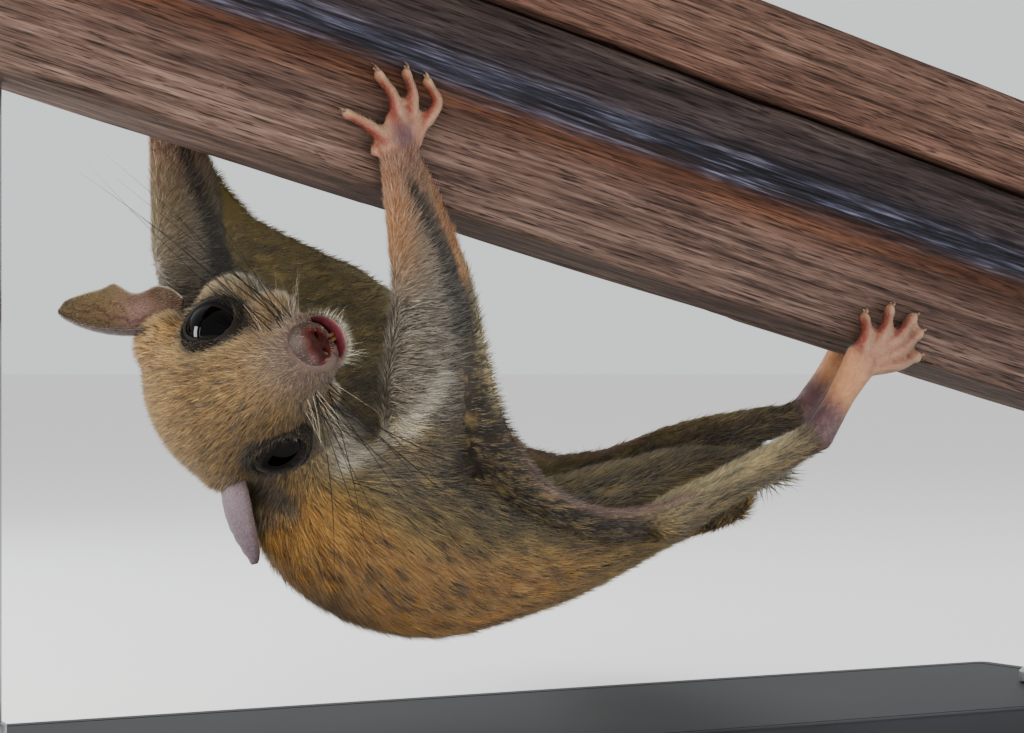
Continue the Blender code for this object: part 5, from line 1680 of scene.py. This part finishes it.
def add_claw(work, tip, way, outward):
    start = len(work.verts)
    bmesh.ops.create_cone(work, cap_ends=True, segments=12, radius1=0.6, radius2=0.05, depth=CLAW_LENGTH)
    work.verts.ensure_lookup_table()
    out = Vector((0.0, outward, 0.0))
    across = way.cross(out)
    new = work.verts[start:]
    edges = list({e for v in new for e in v.link_edges if abs(e.verts[0].co.z - e.verts[1].co.z) > 0.4})
    bmesh.ops.subdivide_edges(work, edges=edges, cuts=5)
    work.verts.ensure_lookup_table()
    for vert in work.verts[start:]:
        t = vert.co.z / CLAW_LENGTH + 0.5
        hook = 0.3 + 0.5 * math.sin(math.pi * t) - 1.6 * t * t
        place = tip + way * (CLAW_LENGTH * t + 0.7) + out * (hook + vert.co.y)
        vert.co = (place + across * vert.co.x * 0.62) * MM


def horn():
    """Claw horn: grey-brown, a little clear, with fine lengthwise ridges."""
    material, tree, shader = new_material("claw_horn", "#8d7466", 0.35, Coat_Weight=0.2)
    patch = noise_at(tree, object_place(tree, (1.2, 1.2, 1.2)), 1.0, 2.0)
    tree.links.new(ramp(tree, patch, [(0.3, "#46352d"), (0.7, "#86705f")]), shader.inputs["Base Color"])
    bump(tree, shader, noise_at(tree, object_place(tree, (0.3, 0.3, 1.5)), 1.0, 2.0), 0.05, 0.5)
    return material


horn_material = horn()
for side, outward in SIDES.items():
    work = bmesh.new()
    for (_, knuckle, tip), _ in digits(side):
        way = Vector((tip.x - knuckle.x, 0.0, tip.z - knuckle.z)).normalized()
        add_claw(work, tip, way, outward)
    settle(finish_mesh(work, f"{side}_claws", horn_material, outward=True), "skin_pink")

# %% [markdown]
# ## Whiskers
# Long dark bristles stand in rows on each side of the muzzle, with finer pale ones between them. Each is
# a thin tapering thread that leaves the pad outwards and droops back in a long curve.
# %% Whisker threads
def thread(start, way, bend, length, radius):
    """Rows of place and radius along one bristle, in millimetres."""
    t = np.linspace(0.0, 1.0, 14)[:, None]
    rows = start + way * t * length + bend * (t**2) * length
    return rows, radius * (1.0 - 0.92 * t[:, 0]) * MM


def threads(name, rows, material):
    vertices, faces = [], []
    for path, radii in rows:
        path = path * MM
        ways = unit_rows(np.gradient(path, axis=0))
        side = unit_rows(np.cross(ways, (0.3, 0.2, 0.9)))
        up = np.cross(side, ways)
        start = len(vertices)
        for spot, a, b, radius in zip(path, side, up, radii):
            for angle in (0.0, 2.094, 4.189):
                vertices.append(spot + (a * math.cos(angle) + b * math.sin(angle)) * radius)
        last = len(path) - 1
        for k in range(last):
            for j in range(3):
                a, b = start + 3 * k + j, start + 3 * k + (j + 1) % 3
                faces.append((a, b, b + 3, a + 3))
        faces += [(start + 2, start + 1, start), (start + 3 * last, start + 3 * last + 1, start + 3 * last + 2)]
    mesh = bpy.data.meshes.new(name)
    mesh.from_pydata(vertices, [], faces)
    mesh.materials.append(material)
    mesh.shade_smooth()
    thing = bpy.data.objects.new(name, mesh)
    bpy.context.scene.collection.objects.link(thing)
    return thing


black_bristle, _, _ = new_material("black_bristle", "#15110f", 0.4)
pale_bristle, _, _ = new_material("pale_bristle", "#d8d0c0", 0.4)


def bristles(count, roots_from, fan, longest, radius, seed):
    """Bristles of both sides; the fan gives, for each side, the mean way and how far it spreads."""
    pick = np.random.default_rng(seed)
    rows = []
    for sign, (mean, spread_way) in fan.items():
        for k in range(count):
            share = k / (count - 1) * 2.0 - 1.0
            f, l, c = (low + (high - low) * pick.random() for low, high in roots_from)
            start = np.array(head_point(f, sign * l, c)) / MM
            way = np.array(mean) + np.array(spread_way) * share + pick.normal(0.0, 0.06, 3)
            way = np.array(HEAD_TURN) @ (way / np.linalg.norm(way))
            bend = np.array(HEAD_TURN) @ (pick.normal((-0.07, 0.0, 0.03), 0.05))
            rows.append(thread(start, way, bend, longest * pick.uniform(0.55, 1.0), radius * pick.uniform(0.7, 1.1)))
    return rows


PAD_AREA = ((10.0, 16.5), (5.0, 6.6), (-9.0, -2.0))
DARK_FAN = {1: ((0.0, 0.95, 0.28), (0.10, 0.0, 0.30)), -1: ((0.10, -0.95, -0.20), (0.34, 0.0, -0.40))}
PALE_FAN = {1: ((0.15, 0.75, -0.25), (0.3, 0.0, 0.6)), -1: ((0.1, -0.85, -0.1), (0.3, 0.0, 0.5))}
CHIN_AREA = ((13.0, 19.5), (0.5, 4.5), (-13.0, -12.0))
CHIN_FAN = {1: ((0.35, 0.55, -0.75), (0.45, 0.3, 0.1)), -1: ((0.35, -0.45, -0.75), (0.45, 0.3, 0.1))}
black_rows = bristles(13, PAD_AREA, DARK_FAN, 50.0, 0.15, 5)
settle(threads("black_whiskers", black_rows, black_bristle), "fur_grey")
pale_rows = bristles(11, PAD_AREA, PALE_FAN, 15.0, 0.045, 8) + bristles(20, CHIN_AREA, CHIN_FAN, 5.5, 0.045, 9)
settle(threads("pale_whiskers", pale_rows, pale_bristle), "fur_pale")
